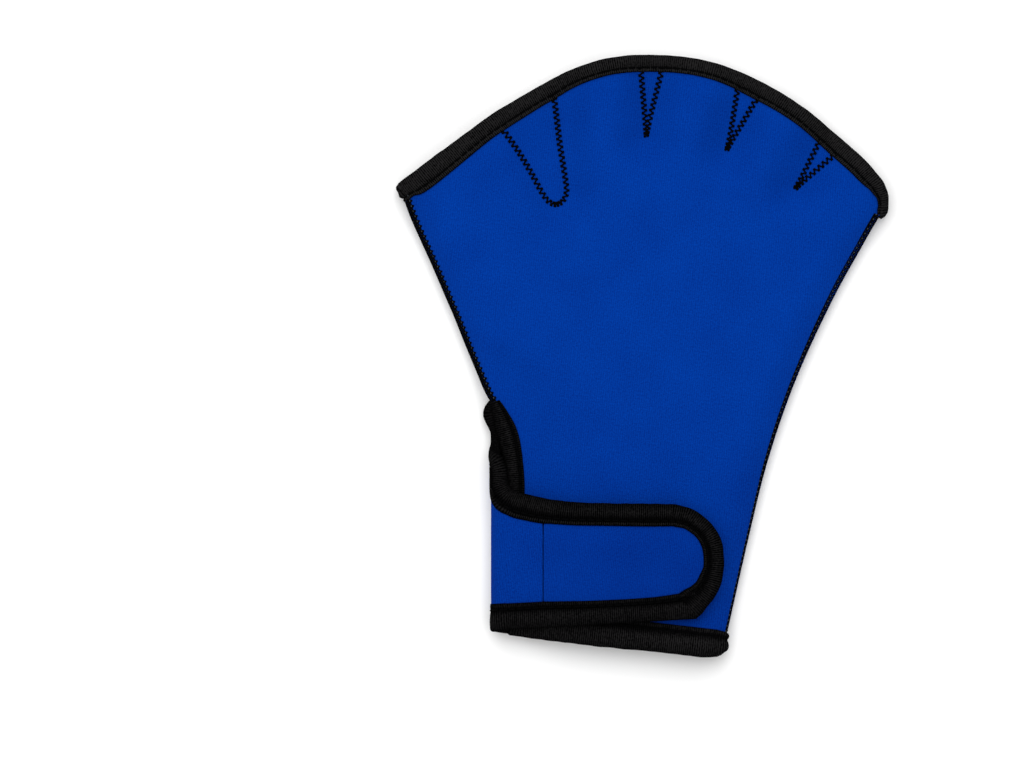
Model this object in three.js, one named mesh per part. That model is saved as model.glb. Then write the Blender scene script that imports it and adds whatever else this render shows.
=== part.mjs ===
import * as THREE from 'three';
import { mergeVertices } from 'three/addons/utils/BufferGeometryUtils.js';

// A right-hand webbed swim glove lying on its palm, back of the hand up, fingers towards +Y, thumb side at -X.
// Lengths are millimetres and angles are degrees.

// Driving sizes of the hand part, measured along the edges of the cloth
const gloveLength = 218.4;    // hem to the highest point of the finger edge
const fanWidth = 177.3;       // thumb corner to little-finger corner
const fanRise = 52.3;         // height of the finger edge above the line between its corners
const fanSlope = 13.7;        // how much higher the little-finger corner stands
const wristWidth = 86.5;      // fold to side seam at the hem
const slitHeight = 83.8;      // hem to the top of the wrist slit
const slitInset = 5.2;        // cloth of the palm beyond the start of the fold, beside the slit
const slitDepth = 9.2;        // how far the back's slit edge stands inside the palm's

// Driving sizes of the strap
const strapTilt = 6.4;        // the strap runs this much off square to the glove
const strapReach = 84.7;      // fold to the round end
const strapWidth = 44.1;      // cloth width at the fold
const buttSeamPlace = 19.6;   // fold to the seam in the strap
const strapRise = 28;         // length over which the strap climbs to its height over the hand
const filletRadius = 8;       // inner corner where the slit meets the strap
const hookLength = 28;
const hookWidth = 20;
const hookThickness = 1.6;
const hookPlace = 38;         // fold to the near end of the hook pad

// Cloth, tape and clearances
const clothThickness = 2.0;
const tapeWidth = 6.1;        // cloth edge to the tape's inner lip
const tapeBulge = 1.5;        // cloth edge to the tape's outer side
const rollThickness = 0.85;   // tape over the cloth at the rolled edge
const lipThickness = 0.5;     // tape over the cloth at the inner lip
const tapeClearance = 0.15;   // between the cloth and the tape
const layerClearance = 0.25;  // between the two panels where they are sewn together
const pieceClearance = 0.3;   // between pieces that touch end to end or face to face
const stackClearance = 0.2;   // between tapes that lie over each other
const groundClearance = 0.08; // between the ground and the tape beside the palm
const turnClearance = 0.7;    // between the panels' sewn corners and the tape that turns round them

// Room inside the glove, and how fast the back panel swells up to it
const handHollow = 7.4;       // between the panels over the hand
const mouthOpening = 4.72;    // between the tapes at the finger openings and the wrist opening
const seamReach = 11;         // from a side seam or a dart to the full height
const slitReach = 26;         // from the free edge to the full height
const mouthReach = 20;        // how far an opening's own height is felt

// Parts of the widths that lie on either side of the glove's middle line
const thumbSideShare = 0.5346;  // thumb corner, of the fan's width
const hemRightShare = 0.4705;   // side seam at the hem, of the wrist's width
const foldShare = 1.024;        // side seam to the outside of the fold, of the wrist's width
const slitShare = 1.097;        // side seam to the top of the slit, of the wrist's width

const halfCloth = clothThickness / 2;
const tapeHalfHeight = halfCloth + tapeClearance + rollThickness;
const lipHalfHeight = halfCloth + tapeClearance + lipThickness;
const edgeHeight = tapeHalfHeight + groundClearance;    // middle of the cloth at a bound edge on the ground
const lipHeight = lipHalfHeight + groundClearance;      // middle of the cloth under the tape's lip
const stackStep = 2 * tapeHalfHeight + stackClearance;  // from one bound edge to the next one over it
const boundHeight = edgeHeight + stackStep;             // middle of the back's cloth at its free edge
const foldTop = boundHeight + stackStep;                // middle of the strap's cloth at the end of the fold
const backHeight = clothThickness + handHollow + halfCloth;
const mouthHeight = edgeHeight + 2 * tapeHalfHeight + mouthOpening;
const strapHeight = mouthHeight + Math.max(stackStep, clothThickness + hookThickness + 2 * pieceClearance);

const seamHeight = gloveLength - fanRise - fanSlope / 2;
const thumbCorner = new THREE.Vector2(-thumbSideShare * fanWidth, seamHeight);
const littleCorner = new THREE.Vector2(thumbCorner.x + fanWidth, thumbCorner.y + fanSlope);
const hemRight = new THREE.Vector2(hemRightShare * wristWidth, 0);
const slitTop = new THREE.Vector2(hemRight.x - slitShare * wristWidth, slitHeight);

// Finger edge: share of the way from the thumb corner, share of the rise
const fingerEdge = [
  { across: 0, rise: 0 },
  { across: 0.143, rise: 0.473 },
  { across: 0.298, rise: 0.836 },
  { across: 0.457, rise: 0.996 },
  { across: 0.539, rise: 0.996 },
  { across: 0.708, rise: 0.84 },
  { across: 0.887, rise: 0.466 },
  { across: 0.978, rise: 0.193 },
  { across: 1, rise: 0 },
];

// Side seam at the little finger: share of its height, share of its flare
const littleSeam = [
  { up: 0, out: 0 },
  { up: 0.254, out: 0.115 },
  { up: 0.43, out: 0.213 },
  { up: 0.608, out: 0.38 },
  { up: 0.788, out: 0.627 },
  { up: 0.923, out: 0.859 },
  { up: 1, out: 1 },
];

// Columns of the panels: where each dart line crosses the hem, the knuckles and the finger edge, as shares of the
// panel's width there, and the number of cells from it to the next
const dartLines = [
  { name: 'thumb corner', hem: 0, knuckle: 0, finger: 0, cells: 6 },
  { name: 'thumb dart, thumb side', hem: 0.27, knuckle: 0.295, finger: 0.21, cells: 2 },
  { name: 'thumb dart, index side', hem: 0.36, knuckle: 0.335, finger: 0.294, cells: 4 },
  { name: 'index dart', hem: 0.5, knuckle: 0.487, finger: 0.485, cells: 3 },
  { name: 'middle dart', hem: 0.66, knuckle: 0.671, finger: 0.688, cells: 3 },
  { name: 'ring dart', hem: 0.82, knuckle: 0.831, finger: 0.87, cells: 4 },
  { name: 'little-finger corner', hem: 1, knuckle: 1, finger: 1, cells: 0 },
];
const knuckleShare = 0.87;

// Tips of the darts, as shares of the fan's width from the middle of the glove and of its length
const dartTips = [
  { dart: 1, across: -0.219, up: 0.735 },
  { dart: 2, across: -0.202, up: 0.755 },
  { dart: 3, across: -0.0485, up: 0.862 },
  { dart: 4, across: 0.1246, up: 0.855 },
  { dart: 5, across: 0.2752, up: 0.802 },
];

// Tape width on the finger edge, as a share of the tape width at the wrist
const fingerTape = [
  { across: 0, width: 1.03 },
  { across: 0.5, width: 0.77 },
  { across: 0.9, width: 0.7 },
  { across: 1, width: 0.6 },
];

// Upper edge of the strap: share of its reach from the fold, share of half its width above its middle line
const strapTop = [
  { along: 0.067, up: 1.256 },
  { along: 0.144, up: 1.206 },
  { along: 0.231, up: 1.115 },
  { along: 0.354, up: 1.052 },
  { along: 0.496, up: 1.03 },
  { along: 0.8, up: 1.016 },
];

// Round end of the strap, from its upper edge to its lower edge
const strapEnd = [
  { along: 0.888, up: 0.9 },
  { along: 0.957, up: 0.667 },
  { along: 1, up: 0.31 },
  { along: 0.998, up: -0.08 },
  { along: 0.96, up: -0.42 },
  { along: 0.9, up: -0.68 },
];
const strapStraightShare = 0.8;   // part of the strap's reach before its round end
const strapEndInset = 0.035;      // part of the reach between the round end and the cells before it
const strapLowerSlope = 0.058;    // the lower edge closes in on the upper one
const hemSlope = 0.11;            // the hem falls away from the strap
const freeEdgeSetBack = 0.9;      // the back's free edge stands this much inside the fold

// Rows of the panels and the strap below the slit, as shares of the strap's width
const strapRowShares = { lower: -0.1, middle: 0, upper: 0.22 };
const backRowShares = [0.3, 0.55, 0.8, 1];

const cornerRow = 5;            // rows from the hem to the inner corner of the slit, and rows of the strap
const slitRows = 5;             // rows from there to the top of the slit
const fanRows = 10;             // rows from there to the finger edge
const lipRowsAboveSlit = 3;     // rows above the slit that keep a column at the tape's lip
const foldCells = 2;            // cells of the strap's base from the middle of the fold to its end
const baseCells = 3;            // cells from there to the seam in the strap
const strapCells = 9;

function lookUp(table, key, value, at) {
  let i = 1;
  while (i < table.length - 1 && table[i][key] < at) i += 1;
  const before = table[i - 1];
  const after = table[i];
  const outer0 = table[Math.max(i - 2, 0)];
  const outer1 = table[Math.min(i + 1, table.length - 1)];
  const span = after[key] - before[key];
  const t = THREE.MathUtils.clamp((at - before[key]) / span, 0, 1);
  const slope0 = ((after[value] - outer0[value]) / (after[key] - outer0[key])) * span;
  const slope1 = ((outer1[value] - before[value]) / (outer1[key] - before[key])) * span;
  const t2 = t * t;
  const t3 = t2 * t;
  return (2 * t3 - 3 * t2 + 1) * before[value] + (t3 - 2 * t2 + t) * slope0
    + (3 * t2 - 2 * t3) * after[value] + (t3 - t2) * slope1;
}

const smooth = (t) => THREE.MathUtils.smoothstep(t, 0, 1);
const swell = (t) => Math.sin((Math.PI / 2) * THREE.MathUtils.clamp(t, 0, 1));

// Frame of the strap: origin on the fold's outer side, half way up the strap
const tilt = THREE.MathUtils.degToRad(strapTilt);
const along = new THREE.Vector2(Math.cos(tilt), Math.sin(tilt));
const upward = new THREE.Vector2(-Math.sin(tilt), Math.cos(tilt));
const foldOrigin = new THREE.Vector2(hemRight.x - foldShare * wristWidth, strapWidth / 2);
const foldPoint = (p, a) => foldOrigin.clone().addScaledVector(along, p).addScaledVector(upward, a);

function foldPlace(point) {
  const offset = point.clone().sub(foldOrigin);
  return { p: offset.dot(along), a: offset.dot(upward) };
}

// The fold: the cloth leaves the ground at foldStart and comes back over itself at foldTop
const foldRadius = (foldTop - halfCloth) / 2;
const foldStart = foldRadius + halfCloth;
const foldLength = Math.PI * foldRadius;

const strapUpperAt = (p) => (strapWidth / 2) * lookUp(strapTop, 'along', 'up', p / strapReach);
const strapLowerAt = (p) => -strapWidth / 2 + strapLowerSlope * p;
const hemAt = (p) => -strapWidth / 2 - hemSlope * p;

// Middle of the strap's cloth over the hand
const strapZ = (p) => THREE.MathUtils.lerp(foldTop, strapHeight, smooth((p - foldStart) / strapRise));

// Outline of the hand part
function leftSeam(share) {
  const t = THREE.MathUtils.clamp(share, 0, 1);
  return slitTop.clone().lerp(thumbCorner, t).add(new THREE.Vector2(-2 * t * (1 - t), 0));
}

function rightSeam(share) {
  const out = lookUp(littleSeam, 'up', 'out', share);
  return new THREE.Vector2(
    THREE.MathUtils.lerp(hemRight.x, littleCorner.x, out),
    THREE.MathUtils.lerp(hemRight.y, littleCorner.y, share),
  );
}

function edgePoint(across) {
  const point = thumbCorner.clone().lerp(littleCorner, across);
  point.y += fanRise * lookUp(fingerEdge, 'across', 'rise', across);
  return point;
}

const rowShare = (y) => y / thumbCorner.y;
const rowBow = (share) => Math.pow(THREE.MathUtils.clamp(share, 0, 1), 3);

// Share of the panel's width at which each column stands in a row
function columnShares(share, leading, width) {
  const shares = [];
  dartLines.slice(0, -1).forEach((line, k) => {
    const place = (dart) => (share < knuckleShare
      ? THREE.MathUtils.lerp(dart.hem, dart.knuckle, share / knuckleShare)
      : THREE.MathUtils.lerp(dart.knuckle, dart.finger, (share - knuckleShare) / (1 - knuckleShare)));
    const from = place(line);
    const to = place(dartLines[k + 1]);
    for (let i = 0; i < line.cells; i += 1) shares.push(THREE.MathUtils.lerp(from, to, i / line.cells));
  });
  shares.push(1);
  if (leading.length > 0) {
    const first = leading.length - 1;
    const last = dartLines[0].cells;
    const start = leading[first] / width;
    const end = shares[last];
    leading.forEach((offset, i) => { shares[i] = offset / width; });
    for (let i = first + 1; i < last; i += 1) {
      shares[i] = THREE.MathUtils.lerp(start, end, (i - first) / (last - first));
    }
  }
  return shares;
}

const columnCount = dartLines.reduce((sum, line) => sum + line.cells, 0);
const slitRow = cornerRow + slitRows;
const topRow = slitRow + fanRows;

// One row of a panel in the flat pattern, from its left point to the side seam
function panelRow(left, share, leading) {
  const right = rightSeam(share);
  const width = right.distanceTo(left);
  return columnShares(share, leading, width).map((at) => {
    const point = left.clone().lerp(right, at);
    point.y += rowBow(share) * fanRise * lookUp(fingerEdge, 'across', 'rise', at);
    return point;
  });
}

// Moves the second row or column to the tape's lip, along its own grid line
function setLip(edge, lip, beyond, width, next) {
  const tangent = next.clone().sub(edge).normalize();
  const inward = new THREE.Vector2(-tangent.y, tangent.x);
  const line = beyond.clone().sub(edge).normalize();
  const facing = Math.abs(line.dot(inward));
  lip.copy(edge).addScaledVector(line, width / Math.max(facing, 0.5));
}

function setFingerLips(rows) {
  for (let i = 0; i <= columnCount; i += 1) {
    const next = i < columnCount ? rows[topRow][i + 1] : rows[topRow][i - 1];
    const across = (rows[topRow][i].x - thumbCorner.x) / fanWidth;
    const width = tapeWidth * lookUp(fingerTape, 'across', 'width', across);
    setLip(rows[topRow][i], rows[topRow - 1][i], rows[topRow - 2][i], width, next);
  }
}

// Rows shared by both panels from the top of the slit to the finger edge
function fanPart(rows) {
  for (let j = 1; j <= fanRows; j += 1) {
    const t = j / fanRows;
    const share = THREE.MathUtils.lerp(rowShare(slitHeight), 1, t);
    rows.push(panelRow(leftSeam(t), share, j <= lipRowsAboveSlit ? [0, tapeWidth] : []));
  }
  setFingerLips(rows);
}

// Palm side of the flat pattern. Below the slit it starts inside the fold, where the strap's base joins it.
const baseStart = slitInset + filletRadius * (1 - Math.SQRT1_2);
const filletCentre = { b: slitInset + filletRadius, a: 0 };
filletCentre.a = strapUpperAt(foldStart) + filletRadius;
const ringPoint = (radius, degrees) => {
  const angle = THREE.MathUtils.degToRad(degrees);
  const b = filletCentre.b - radius * Math.cos(angle);
  return { b, a: filletCentre.a - radius * Math.sin(angle) };
};
const patternPoint = (b, a) => foldPoint(foldStart - b, a);

// Rows of the strap between its lower and its upper edge, with one at the lip of each tape
function strapLevels(low, high) {
  const { middle, upper } = strapRowShares;
  return [low, low + tapeWidth, middle * strapWidth, upper * strapWidth, high - tapeWidth, high];
}

function palmRows() {
  const rows = [];
  const hemEdge = hemAt(foldStart - baseStart) + 2 * hemSlope * (foldStart - baseStart);
  const lipRing = filletRadius + tapeWidth;
  const inner = ringPoint(lipRing, 66);
  const { lower, upper } = strapRowShares;
  const levels = [hemEdge, hemEdge + tapeWidth, lower * strapWidth, upper * strapWidth, inner.a];
  levels.forEach((a, j) => {
    const left = patternPoint(baseStart, a);
    const hemLift = j < 2 ? 0 : 1;
    const share = rowShare(THREE.MathUtils.lerp(j * tapeWidth, left.y, hemLift));
    const leading = [0, baseStart / 3, (2 * baseStart) / 3, baseStart];
    rows.push(panelRow(left, share, leading));
  });
  const corner = ringPoint(filletRadius, 45);
  const cornerPoint = patternPoint(corner.b, corner.a);
  rows.push(panelRow(cornerPoint, rowShare(cornerPoint.y), [0, tapeWidth]));
  const diagonal = ringPoint(lipRing, 45);
  rows[cornerRow - 1][1] = patternPoint(diagonal.b, diagonal.a);
  rows[cornerRow - 1][2].lerpVectors(rows[cornerRow - 1][1], rows[cornerRow - 1][3], 0.5);
  const beside = ringPoint(lipRing, 24);
  rows[cornerRow][1] = patternPoint(beside.b, beside.a);
  for (let j = 1; j <= slitRows; j += 1) {
    const a = THREE.MathUtils.lerp(filletCentre.a, foldPlace(slitTop).a, (j - 1) / (slitRows - 1));
    const left = j < slitRows ? patternPoint(slitInset, a) : slitTop.clone();
    rows.push(panelRow(left, rowShare(left.y), [0, tapeWidth]));
  }
  fanPart(rows);
  return rows;
}

// Back of the flat pattern. Its free edge runs beside the fold and then curves out to the top of the slit.
const freeEdgePlace = foldStart + freeEdgeSetBack;

function backRows() {
  const rows = [];
  const hemEdge = hemAt(freeEdgePlace);
  const levels = [0, tapeWidth, ...backRowShares.map((share) => share * strapWidth)];
  levels.forEach((level) => {
    const left = foldPoint(freeEdgePlace, hemEdge + level);
    rows.push(panelRow(left, rowShare(level), [0, tapeWidth]));
  });
  const start = rows[cornerRow][0];
  const curve = new THREE.CubicBezierCurve(
    start,
    start.clone().addScaledVector(upward, 0.55 * (slitTop.y - start.y)),
    slitTop.clone().add(new THREE.Vector2(0.9 * slitDepth, -0.55 * slitDepth)),
    slitTop,
  );
  for (let j = 1; j <= slitRows; j += 1) {
    const left = curve.getPoint(j / slitRows);
    rows.push(panelRow(left, rowShare(left.y), [0, tapeWidth]));
  }
  fanPart(rows);
  return rows;
}

// Height of the middle of the back panel's cloth
function distanceToLine(point, line) {
  let best = Infinity;
  for (let i = 1; i < line.length; i += 1) {
    const side = line[i].clone().sub(line[i - 1]);
    const t = THREE.MathUtils.clamp(point.clone().sub(line[i - 1]).dot(side) / side.lengthSq(), 0, 1);
    best = Math.min(best, point.distanceTo(line[i - 1].clone().addScaledVector(side, t)));
  }
  return best;
}

const samples = (count, curve) => Array.from({ length: count + 1 }, (_, i) => curve(i / count));

function dartCurves() {
  const tips = dartTips.map((tip) => new THREE.Vector2(tip.across * fanWidth, tip.up * gloveLength));
  const tops = dartTips.map((tip) => edgePoint(dartLines[tip.dart].finger));
  const thumbDart = [tops[0], tips[0], tips[1], tops[1]];
  return [thumbDart, ...[2, 3, 4].map((k) => [tops[k], tips[k]])];
}

const sewnLines = [
  samples(12, leftSeam),
  samples(12, (t) => rightSeam(t)),
  ...dartCurves(),
];

// The thumb's web lies flat between the two legs of its dart, up to and past the finger edge
function webOutline() {
  const [top0, tip0, tip1, top1] = dartCurves()[0];
  return [top0.clone().lerp(tip0, -0.4), tip0, tip1, top1.clone().lerp(tip1, -0.4)];
}
const thumbWeb = webOutline();

function insideWeb(point) {
  let inside = false;
  thumbWeb.forEach((corner, i) => {
    const next = thumbWeb[(i + 1) % thumbWeb.length];
    if ((corner.y > point.y) !== (next.y > point.y)) {
      const x = corner.x + ((point.y - corner.y) / (next.y - corner.y)) * (next.x - corner.x);
      if (point.x < x) inside = !inside;
    }
  });
  return inside;
}

const palm = palmRows();
const back = backRows();
const freeEdge = back.slice(0, slitRow + 1).map((row) => row[0]);
const fingerMouth = samples(24, edgePoint);
const wristMouth = [back[0][0], back[0][columnCount]];

function backZ(point) {
  const toSewn = insideWeb(point) ? 0 : Math.min(...sewnLines.map((line) => distanceToLine(point, line)));
  const toFree = distanceToLine(point, freeEdge);
  const toMouth = Math.min(distanceToLine(point, fingerMouth), distanceToLine(point, wristMouth));
  const nearOpening = 1 - smooth(Math.min(toMouth, toFree) / mouthReach);
  const nearMouth = 1 - smooth(toMouth / mouthReach);
  const sewnHeight = clothThickness + layerClearance + halfCloth;
  const low = THREE.MathUtils.lerp(sewnHeight, boundHeight, nearOpening);
  const high = THREE.MathUtils.lerp(backHeight, mouthHeight, nearMouth);
  const rise = Math.min(swell(toSewn / seamReach), smooth(toFree / slitReach));
  return low + (high - low) * rise;
}

// Bends a point of the palm's flat pattern round the fold
function formPalm(point, ground) {
  const { p, a } = foldPlace(point);
  const b = foldStart - p;
  if (b <= 0) return new THREE.Vector3(point.x, point.y, ground);
  const slitA = foldPlace(slitTop).a;
  const open = smooth((a - strapUpperAt(foldStart)) / (slitA - strapUpperAt(foldStart)));
  const bend = (1 - open) / foldRadius;
  const turn = b * bend;
  if (turn >= Math.PI) {
    const over = foldStart + b - foldLength;
    const flat = foldPoint(over, a);
    return new THREE.Vector3(flat.x, flat.y, strapZ(over));
  }
  const flattening = (foldTop - ground) / (2 * foldRadius);
  const reach = bend > 1e-4 ? Math.sin(turn) / bend : b;
  const rise = bend > 1e-4 ? ((1 - Math.cos(turn)) / bend) * flattening : 0;
  const flat = foldPoint(foldStart - reach, a);
  return new THREE.Vector3(flat.x, flat.y, ground + rise);
}

// A sheet of cloth: middle surface as points and faces, each four-sided face split from its first corner
class Sheet {
  constructor() {
    this.points = [];
    this.faces = [];
  }

  add(point) {
    this.points.push(point);
    return this.points.length - 1;
  }

  quad(a, b, c, d) {
    if (a !== b && b !== c) this.faces.push([a, b, c]);
    if (a !== c && c !== d && d !== a) this.faces.push([a, c, d]);
  }

  // Faces between a bound edge and the tape's lip
  band(stations) {
    for (let i = 1; i < stations.length; i += 1) {
      const [edge0, lip0] = stations[i - 1];
      const [edge1, lip1] = stations[i];
      this.quad(edge0, edge1, lip1, lip0);
    }
  }

  // Turns all faces the same way round as the first one, by the corners they share
  orient() {
    const byEdge = new Map();
    this.faces.forEach((face, f) => face.forEach((from, k) => {
      const to = face[(k + 1) % 3];
      const key = from < to ? `${from},${to}` : `${to},${from}`;
      byEdge.set(key, [...(byEdge.get(key) ?? []), f]);
    }));
    const done = new Set([0]);
    const queue = [0];
    while (queue.length > 0) {
      const face = this.faces[queue.pop()];
      face.forEach((from, k) => {
        const to = face[(k + 1) % 3];
        const key = from < to ? `${from},${to}` : `${to},${from}`;
        byEdge.get(key).filter((f) => !done.has(f)).forEach((f) => {
          const other = this.faces[f];
          const at = other.indexOf(from);
          if (other[(at + 1) % 3] === to) other.reverse();
          done.add(f);
          queue.push(f);
        });
      });
    }
  }

  findNormals() {
    this.orient();
    this.normals = this.points.map(() => new THREE.Vector3());
    this.faces.forEach(([a, b, c]) => {
      const side0 = this.points[b].clone().sub(this.points[a]);
      const side1 = this.points[c].clone().sub(this.points[a]);
      const normal = side0.cross(side1).normalize();
      [a, b, c].forEach((k) => this.normals[k].add(normal));
    });
    this.normals.forEach((normal) => normal.normalize());
  }

  // Stations of a tape: edge and lip with the cloth's normals, pointing to the side that is given
  stations(pairs, side) {
    return pairs.map(([edge, lip]) => ({
      edge: this.points[edge],
      lip: this.points[lip],
      edgeNormal: this.normals[edge].clone().multiplyScalar(side),
      lipNormal: this.normals[lip].clone().multiplyScalar(side),
    }));
  }

  solid(thickness) {
    const positions = [];
    const corner = (k, side) => this.points[k].clone().addScaledVector(this.normals[k], (side * thickness) / 2);
    const triangle = (...corners) => corners.forEach((v) => positions.push(v.x, v.y, v.z));
    const open = new Map();
    this.faces.forEach(([a, b, c]) => {
      triangle(corner(a, 1), corner(b, 1), corner(c, 1));
      triangle(corner(c, -1), corner(b, -1), corner(a, -1));
      [[a, b], [b, c], [c, a]].forEach(([from, to]) => {
        if (open.has(`${to},${from}`)) open.delete(`${to},${from}`);
        else open.set(`${from},${to}`, [from, to]);
      });
    });
    open.forEach(([from, to]) => {
      triangle(corner(to, 1), corner(from, 1), corner(from, -1));
      triangle(corner(to, 1), corner(from, -1), corner(to, -1));
    });
    return closedGeometry(positions);
  }
}

// Merges the corners of loose triangles, drops the flat ones and turns the faces outward
function closedGeometry(positions) {
  const loose = new THREE.BufferGeometry();
  loose.setAttribute('position', new THREE.Float32BufferAttribute(positions, 3));
  const merged = mergeVertices(loose, 1e-3);
  const place = (k) => new THREE.Vector3().fromBufferAttribute(merged.attributes.position, k);
  const index = merged.index.array;
  const kept = [];
  let volume = 0;
  for (let i = 0; i < index.length; i += 3) {
    const [a, b, c] = [index[i], index[i + 1], index[i + 2]];
    if (a !== b && b !== c && c !== a) {
      kept.push(a, b, c);
      volume += place(a).dot(place(b).cross(place(c)));
    }
  }
  if (volume < 0) {
    for (let i = 0; i < kept.length; i += 3) [kept[i], kept[i + 1]] = [kept[i + 1], kept[i]];
  }
  merged.setIndex(kept);
  merged.computeVertexNormals();
  return merged;
}

// Section of the tape at one station: share of the way from edge to lip, height over the cloth's middle, distance
// beyond the edge
const slotHalfHeight = halfCloth + tapeClearance;
const tapeSection = [
  { toLip: 1, height: slotHalfHeight, beyond: 0 },
  { toLip: 1, height: lipHalfHeight, beyond: 0 },
  { toLip: 0.15, height: tapeHalfHeight, beyond: 0 },
  { toLip: 0, height: 0.75 * tapeHalfHeight, beyond: 0.6 * tapeBulge },
  { toLip: 0, height: 0.25 * tapeHalfHeight, beyond: tapeBulge },
  { toLip: 0, height: -0.25 * tapeHalfHeight, beyond: tapeBulge },
  { toLip: 0, height: -0.75 * tapeHalfHeight, beyond: 0.6 * tapeBulge },
  { toLip: 0.15, height: -tapeHalfHeight, beyond: 0 },
  { toLip: 1, height: -lipHalfHeight, beyond: 0 },
  { toLip: 1, height: -slotHalfHeight, beyond: 0 },
  { toLip: 0, height: -slotHalfHeight, beyond: tapeClearance },
  { toLip: 0, height: slotHalfHeight, beyond: tapeClearance },
];
const splitTheOtherWay = new Set([1, 9]);

function tapeRings(stations, closed) {
  const count = stations.length;
  return stations.map((station, i) => {
    let before = i;
    let after = i;
    const step = (k, by) => (closed ? (k + by + count) % count : THREE.MathUtils.clamp(k + by, 0, count - 1));
    for (let n = 0; n < 4 && stations[before].edge.distanceTo(station.edge) < 1e-3; n += 1) before = step(before, -1);
    for (let n = 0; n < 4 && stations[after].edge.distanceTo(station.edge) < 1e-3; n += 1) after = step(after, 1);
    const tangent = stations[after].edge.clone().sub(stations[before].edge).normalize();
    const beyond = tangent.cross(station.edgeNormal).normalize();
    if (beyond.dot(station.edge.clone().sub(station.lip)) < 0) beyond.negate();
    return tapeSection.map((row) => {
      const height = station.edgeNormal.clone().lerp(station.lipNormal, row.toLip).normalize();
      return station.edge.clone().lerp(station.lip, row.toLip)
        .addScaledVector(height, row.height)
        .addScaledVector(beyond, row.beyond);
    });
  });
}

function tapeGeometry(stations, closed) {
  const rings = tapeRings(stations, closed);
  const positions = [];
  const triangle = (...corners) => corners.forEach((v) => positions.push(v.x, v.y, v.z));
  const size = tapeSection.length;
  const last = closed ? rings.length : rings.length - 1;
  for (let i = 0; i < last; i += 1) {
    const ring = rings[i];
    const next = rings[(i + 1) % rings.length];
    for (let k = 0; k < size; k += 1) {
      const n = (k + 1) % size;
      if (splitTheOtherWay.has(k)) {
        triangle(ring[k], next[k], ring[n]);
        triangle(next[k], next[n], ring[n]);
      } else {
        triangle(ring[k], next[k], next[n]);
        triangle(ring[k], next[n], ring[n]);
      }
    }
  }
  if (!closed) {
    const outline = tapeSection.map((row) => new THREE.Vector2(row.toLip * tapeWidth - row.beyond, row.height));
    const turned = THREE.ShapeUtils.area(outline) > 0 ? 1 : -1;
    THREE.ShapeUtils.triangulateShape(outline, []).forEach((corners) => {
      const facing = THREE.ShapeUtils.area(corners.map((k) => outline[k])) * turned;
      const [a, b, c] = facing > 0 ? corners : [...corners].reverse();
      const first = rings[0];
      const end = rings[rings.length - 1];
      triangle(first[a], first[b], first[c]);
      triangle(end[c], end[b], end[a]);
    });
  }
  return closedGeometry(positions);
}

// Stations that carry a tape round the side seam, from one panel's edge to the other's
function hairpin(from, to, sideways) {
  const turns = [0, 36, 72, 108, 144, 180];
  return turns.map((degrees) => {
    const angle = THREE.MathUtils.degToRad(degrees);
    const share = (1 - Math.cos(angle)) / 2;
    const reach = (a, b) => (Math.sin(angle) * a.distanceTo(b)) / 2 + turnClearance;
    const normal = new THREE.Vector3(0, 0, Math.cos(angle)).addScaledVector(sideways, -Math.sin(angle));
    return {
      edge: from.edge.clone().lerp(to.edge, share).addScaledVector(sideways, reach(from.edge, to.edge)),
      lip: from.lip.clone().lerp(to.lip, share).addScaledVector(sideways, reach(from.lip, to.lip)),
      edgeNormal: normal,
      lipNormal: normal.clone(),
    };
  });
}

function flatDirection(from, to) {
  const direction = to.clone().sub(from);
  direction.z = 0;
  return direction.normalize();
}

// A station moved along its tape by a length
function shifted(station, toward, length) {
  const edgeShare = length / station.edge.distanceTo(toward.edge);
  const lipShare = length / station.lip.distanceTo(toward.lip);
  return {
    edge: station.edge.clone().lerp(toward.edge, edgeShare),
    lip: station.lip.clone().lerp(toward.lip, lipShare),
    edgeNormal: station.edgeNormal,
    lipNormal: station.lipNormal,
  };
}

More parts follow.
